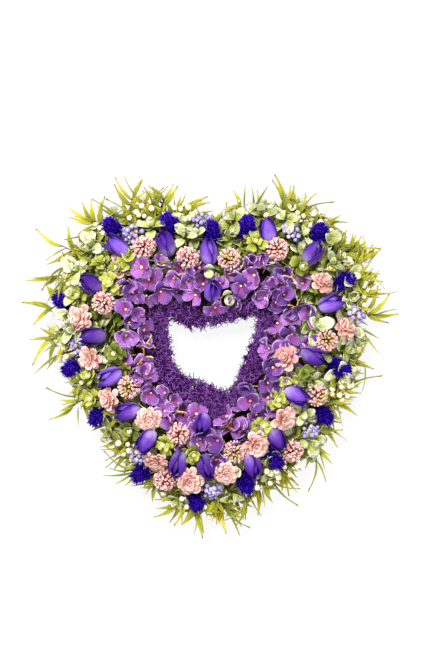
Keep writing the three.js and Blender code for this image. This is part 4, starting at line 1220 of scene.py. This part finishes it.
def fringe_spray(k):
    piece = Piece(f"fringe_spray_{k + 1}_dressed")
    for i, (x, y, aim), spot in within(k, FRINGES):
        centre = np.array((x, y, 16 + 5 * draw(i, 12)))
        add_slim_spray(piece, ring_point(spot.around, 0.97, 9), centre + FRINGE_SHIFT, aim, i, 25, 5.2, 0.2)
        slim_leaf(piece, centre, aim + 60 * draw(i, 14), 23 + 4 * draw(i, 15), 10, 1.8, i + 3000)
    for i, (x, y, aim), spot in within(k, THIN_LEAVES):
        start = np.array((x, y, 20 + 3 * draw(i, 181)))
        curve = 0.5 * draw(i, 183)
        slim_leaf(piece, start, aim, 31 + 4 * draw(i, 182), 6, 2.6, i + 5000, -0.5, curve)
        slim_leaf(piece, start, aim + 24, 24 + 4 * draw(i, 184), 9, 2.4, i + 5100, -0.7, curve)
        add_stem(piece, start, ring_point(spot.around, 0.95, 10), 0.8)
    for i in range(SHORT_SPRAYS):
        key = k * SHORT_SPRAYS + i
        around = (k + (i + 0.5 + 0.4 * draw(key, 171)) / SHORT_SPRAYS) / SECTORS
        around = np.clip(around, (k + 0.02) / SECTORS, (k + 0.98) / SECTORS)
        tip = ring_point(around, 1.1 + 0.06 * draw(key, 172), 20 + 5 * draw(key, 173))
        tip = tip + 6 * direction(180 * draw(key, 174), 0)
        aim = Spot(*tip[:2]).heading + 50 * draw(key, 176)
        foot, length = ring_point(around, 0.97, 10), 18 + 3 * draw(key, 175)
        add_slim_spray(piece, foot, tip, aim, key + 400, length, 4.2, -0.35)
    piece.make("olive_leaf", f"fringe_spray_{k + 1}")


for build in (hydrangea_bunch, leafy_spray, fringe_spray):
    for k in range(SECTORS):
        build(k)


# Moss: a dark core, painted shade in the depth of the moss, and a tangle of fine curling strands
def moss_section(around):
    reach, cover = moss_at(around)
    reach, cover = (reach - 5) / FOAM_WIDTH, cover / FOAM_WIDTH
    return [
        (0.07 + cover, 31), (0.0, 29), (-reach, 23), (-0.02 - reach, 11), (-reach, 2.5), (0.0, 2),
        (0.02, 10), (0.04, 19), (0.08, 24), (0.1 + cover, 27),
    ]


def moss_strands(count, start, end, seed):
    """Paths of curling strands, shape (count, 8, 3), rooted on the open side of the moss."""
    rng = np.random.default_rng(seed)
    around = rng.uniform(start, end, count)
    reach, cover = moss_at(around)
    turn = rng.uniform(-0.2, 1, count) * pi / 2
    top = rng.uniform(0, 1, count) < 0.25 + cover / 40
    across = rng.uniform(-0.3, 1.0, count) * (cover + 6)
    across = np.where(top, across, -(reach - 7) * np.cos(turn)) / FOAM_WIDTH
    height = np.where(top, 31.0, 16 + 12 * np.sin(turn)) + rng.uniform(-2, 2, count)
    roots = ring_point(around, across, height)
    inward = ring_point(around, across - 0.02, height) - roots
    inward /= np.linalg.norm(inward, axis=1, keepdims=True)
    lift = np.where(top, 1.0, np.sin(turn))[:, None]
    way = inward * np.where(top, 0.2, np.cos(turn))[:, None] + np.array((0, 0, 1.0)) * lift
    way = way + rng.normal(0, 0.6, (count, 3))
    curl = rng.normal(0, 1, (count, 3))
    points = [roots - way * 1.5]
    for _ in range(7):
        way = way + 0.42 * np.cross(way, curl) + rng.normal(0, 0.25, (count, 3))
        way /= np.linalg.norm(way, axis=1, keepdims=True)
        points.append(points[-1] + way * rng.uniform(1.1, 1.9, (count, 1)))
    return np.stack(points, 1)


STRANDS = 1150
for k in range(MOSS_PADS):
    piece = Piece(f"moss_pad_{k + 1}_dressed")
    start, end = (k + 0.01) / MOSS_PADS, (k + 0.99) / MOSS_PADS
    bed(piece, start, end, SHADED_MOSS_CORE, moss_section, 0.1, 50 + k, 30)
    for n, path in enumerate(moss_strands(STRANDS, start, end, 70 + k)):
        piece.add(tube(path, np.linspace(0.62, 0.34, 8), 3), MOSS, sin(n * 12.9898))
    piece.make("moss", f"moss_pad_{k + 1}")

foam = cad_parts["foam_ring"]
foam.data.materials.clear()
foam.data.materials.append(FOAM)

# Floor, light and camera, in metres
FLOOR_HALF, FLOOR_DROP = 9, 0.0003
# Name, place, size and power of each light
LIGHTS = [("key", (-0.6, 1.2, 2.0), 0.7, 79), ("fill", (1.2, -0.9, 1.7), 1.6, 18)]
SKY_STRENGTH = 0.82
CAMERA_DISTANCE, FACE_HEIGHT = 1.5, 0.038
SENSOR, PHOTO_HEIGHT = 36, 645
# Size of a pixel of the photo, and where its middle lies, both in millimetres of the layout
PIXEL = 1.08
PHOTO_MIDDLE = (2.2, 35.1)


def pale_floor():
    """A large plane, lit by its own faint glow so that it stays pale and even."""
    shader = Shader("pale_floor", 0.9)
    cloud = shader.noise(shader.body, 6.0)
    shader.feed(shader.surface["Base Color"], shader.ramp(cloud, [(0.3, 0x484848), (0.7, 0x4c4c4c)]))
    shader.feed(shader.surface["Emission Color"], shader.ramp(cloud, [(0.3, 0xf1f1f1), (0.7, 0xf3f3f3)]))
    shader.feed(shader.surface["Emission Strength"], 1.0)
    corners = [(-1, -1), (1, -1), (1, 1), (-1, 1)]
    mesh = bpy.data.meshes.new("floor")
    mesh.from_pydata([(x * FLOOR_HALF, y * FLOOR_HALF, 0) for x, y in corners], [], [(0, 1, 2, 3)])
    mesh.materials.append(shader.material)
    plane = new_object("floor", mesh)
    plane.location[2] = -FLOOR_DROP


def area_light(name, place, size, power):
    """A round lamp that faces the middle of the wreath."""
    light = bpy.data.lights.new(name, "AREA")
    light.shape = "DISK"
    light.size = size
    light.energy = power
    lamp = new_object(name, light)
    lamp.location = place
    lamp.rotation_euler = (-Vector(place)).to_track_quat("-Z", "Y").to_euler()


pale_floor()
for light_values in LIGHTS:
    area_light(*light_values)
scene = bpy.context.scene
scene.world = scene.world or bpy.data.worlds.new("World")
scene.world.use_nodes = True
sky = scene.world.node_tree.nodes["Background"].inputs
sky["Color"].default_value = (1, 1, 1, 1)
sky["Strength"].default_value = SKY_STRENGTH
scene.view_settings.view_transform = "Standard"

camera = new_object("camera", bpy.data.cameras.new("camera"))
camera.data.sensor_width = SENSOR
camera.data.lens = SENSOR * CAMERA_DISTANCE / (PHOTO_HEIGHT * PIXEL * MM)
middle = SHIFT[:2] + np.array(PHOTO_MIDDLE) * MM
camera.location = (*middle, FACE_HEIGHT + CAMERA_DISTANCE)
scene.camera = camera
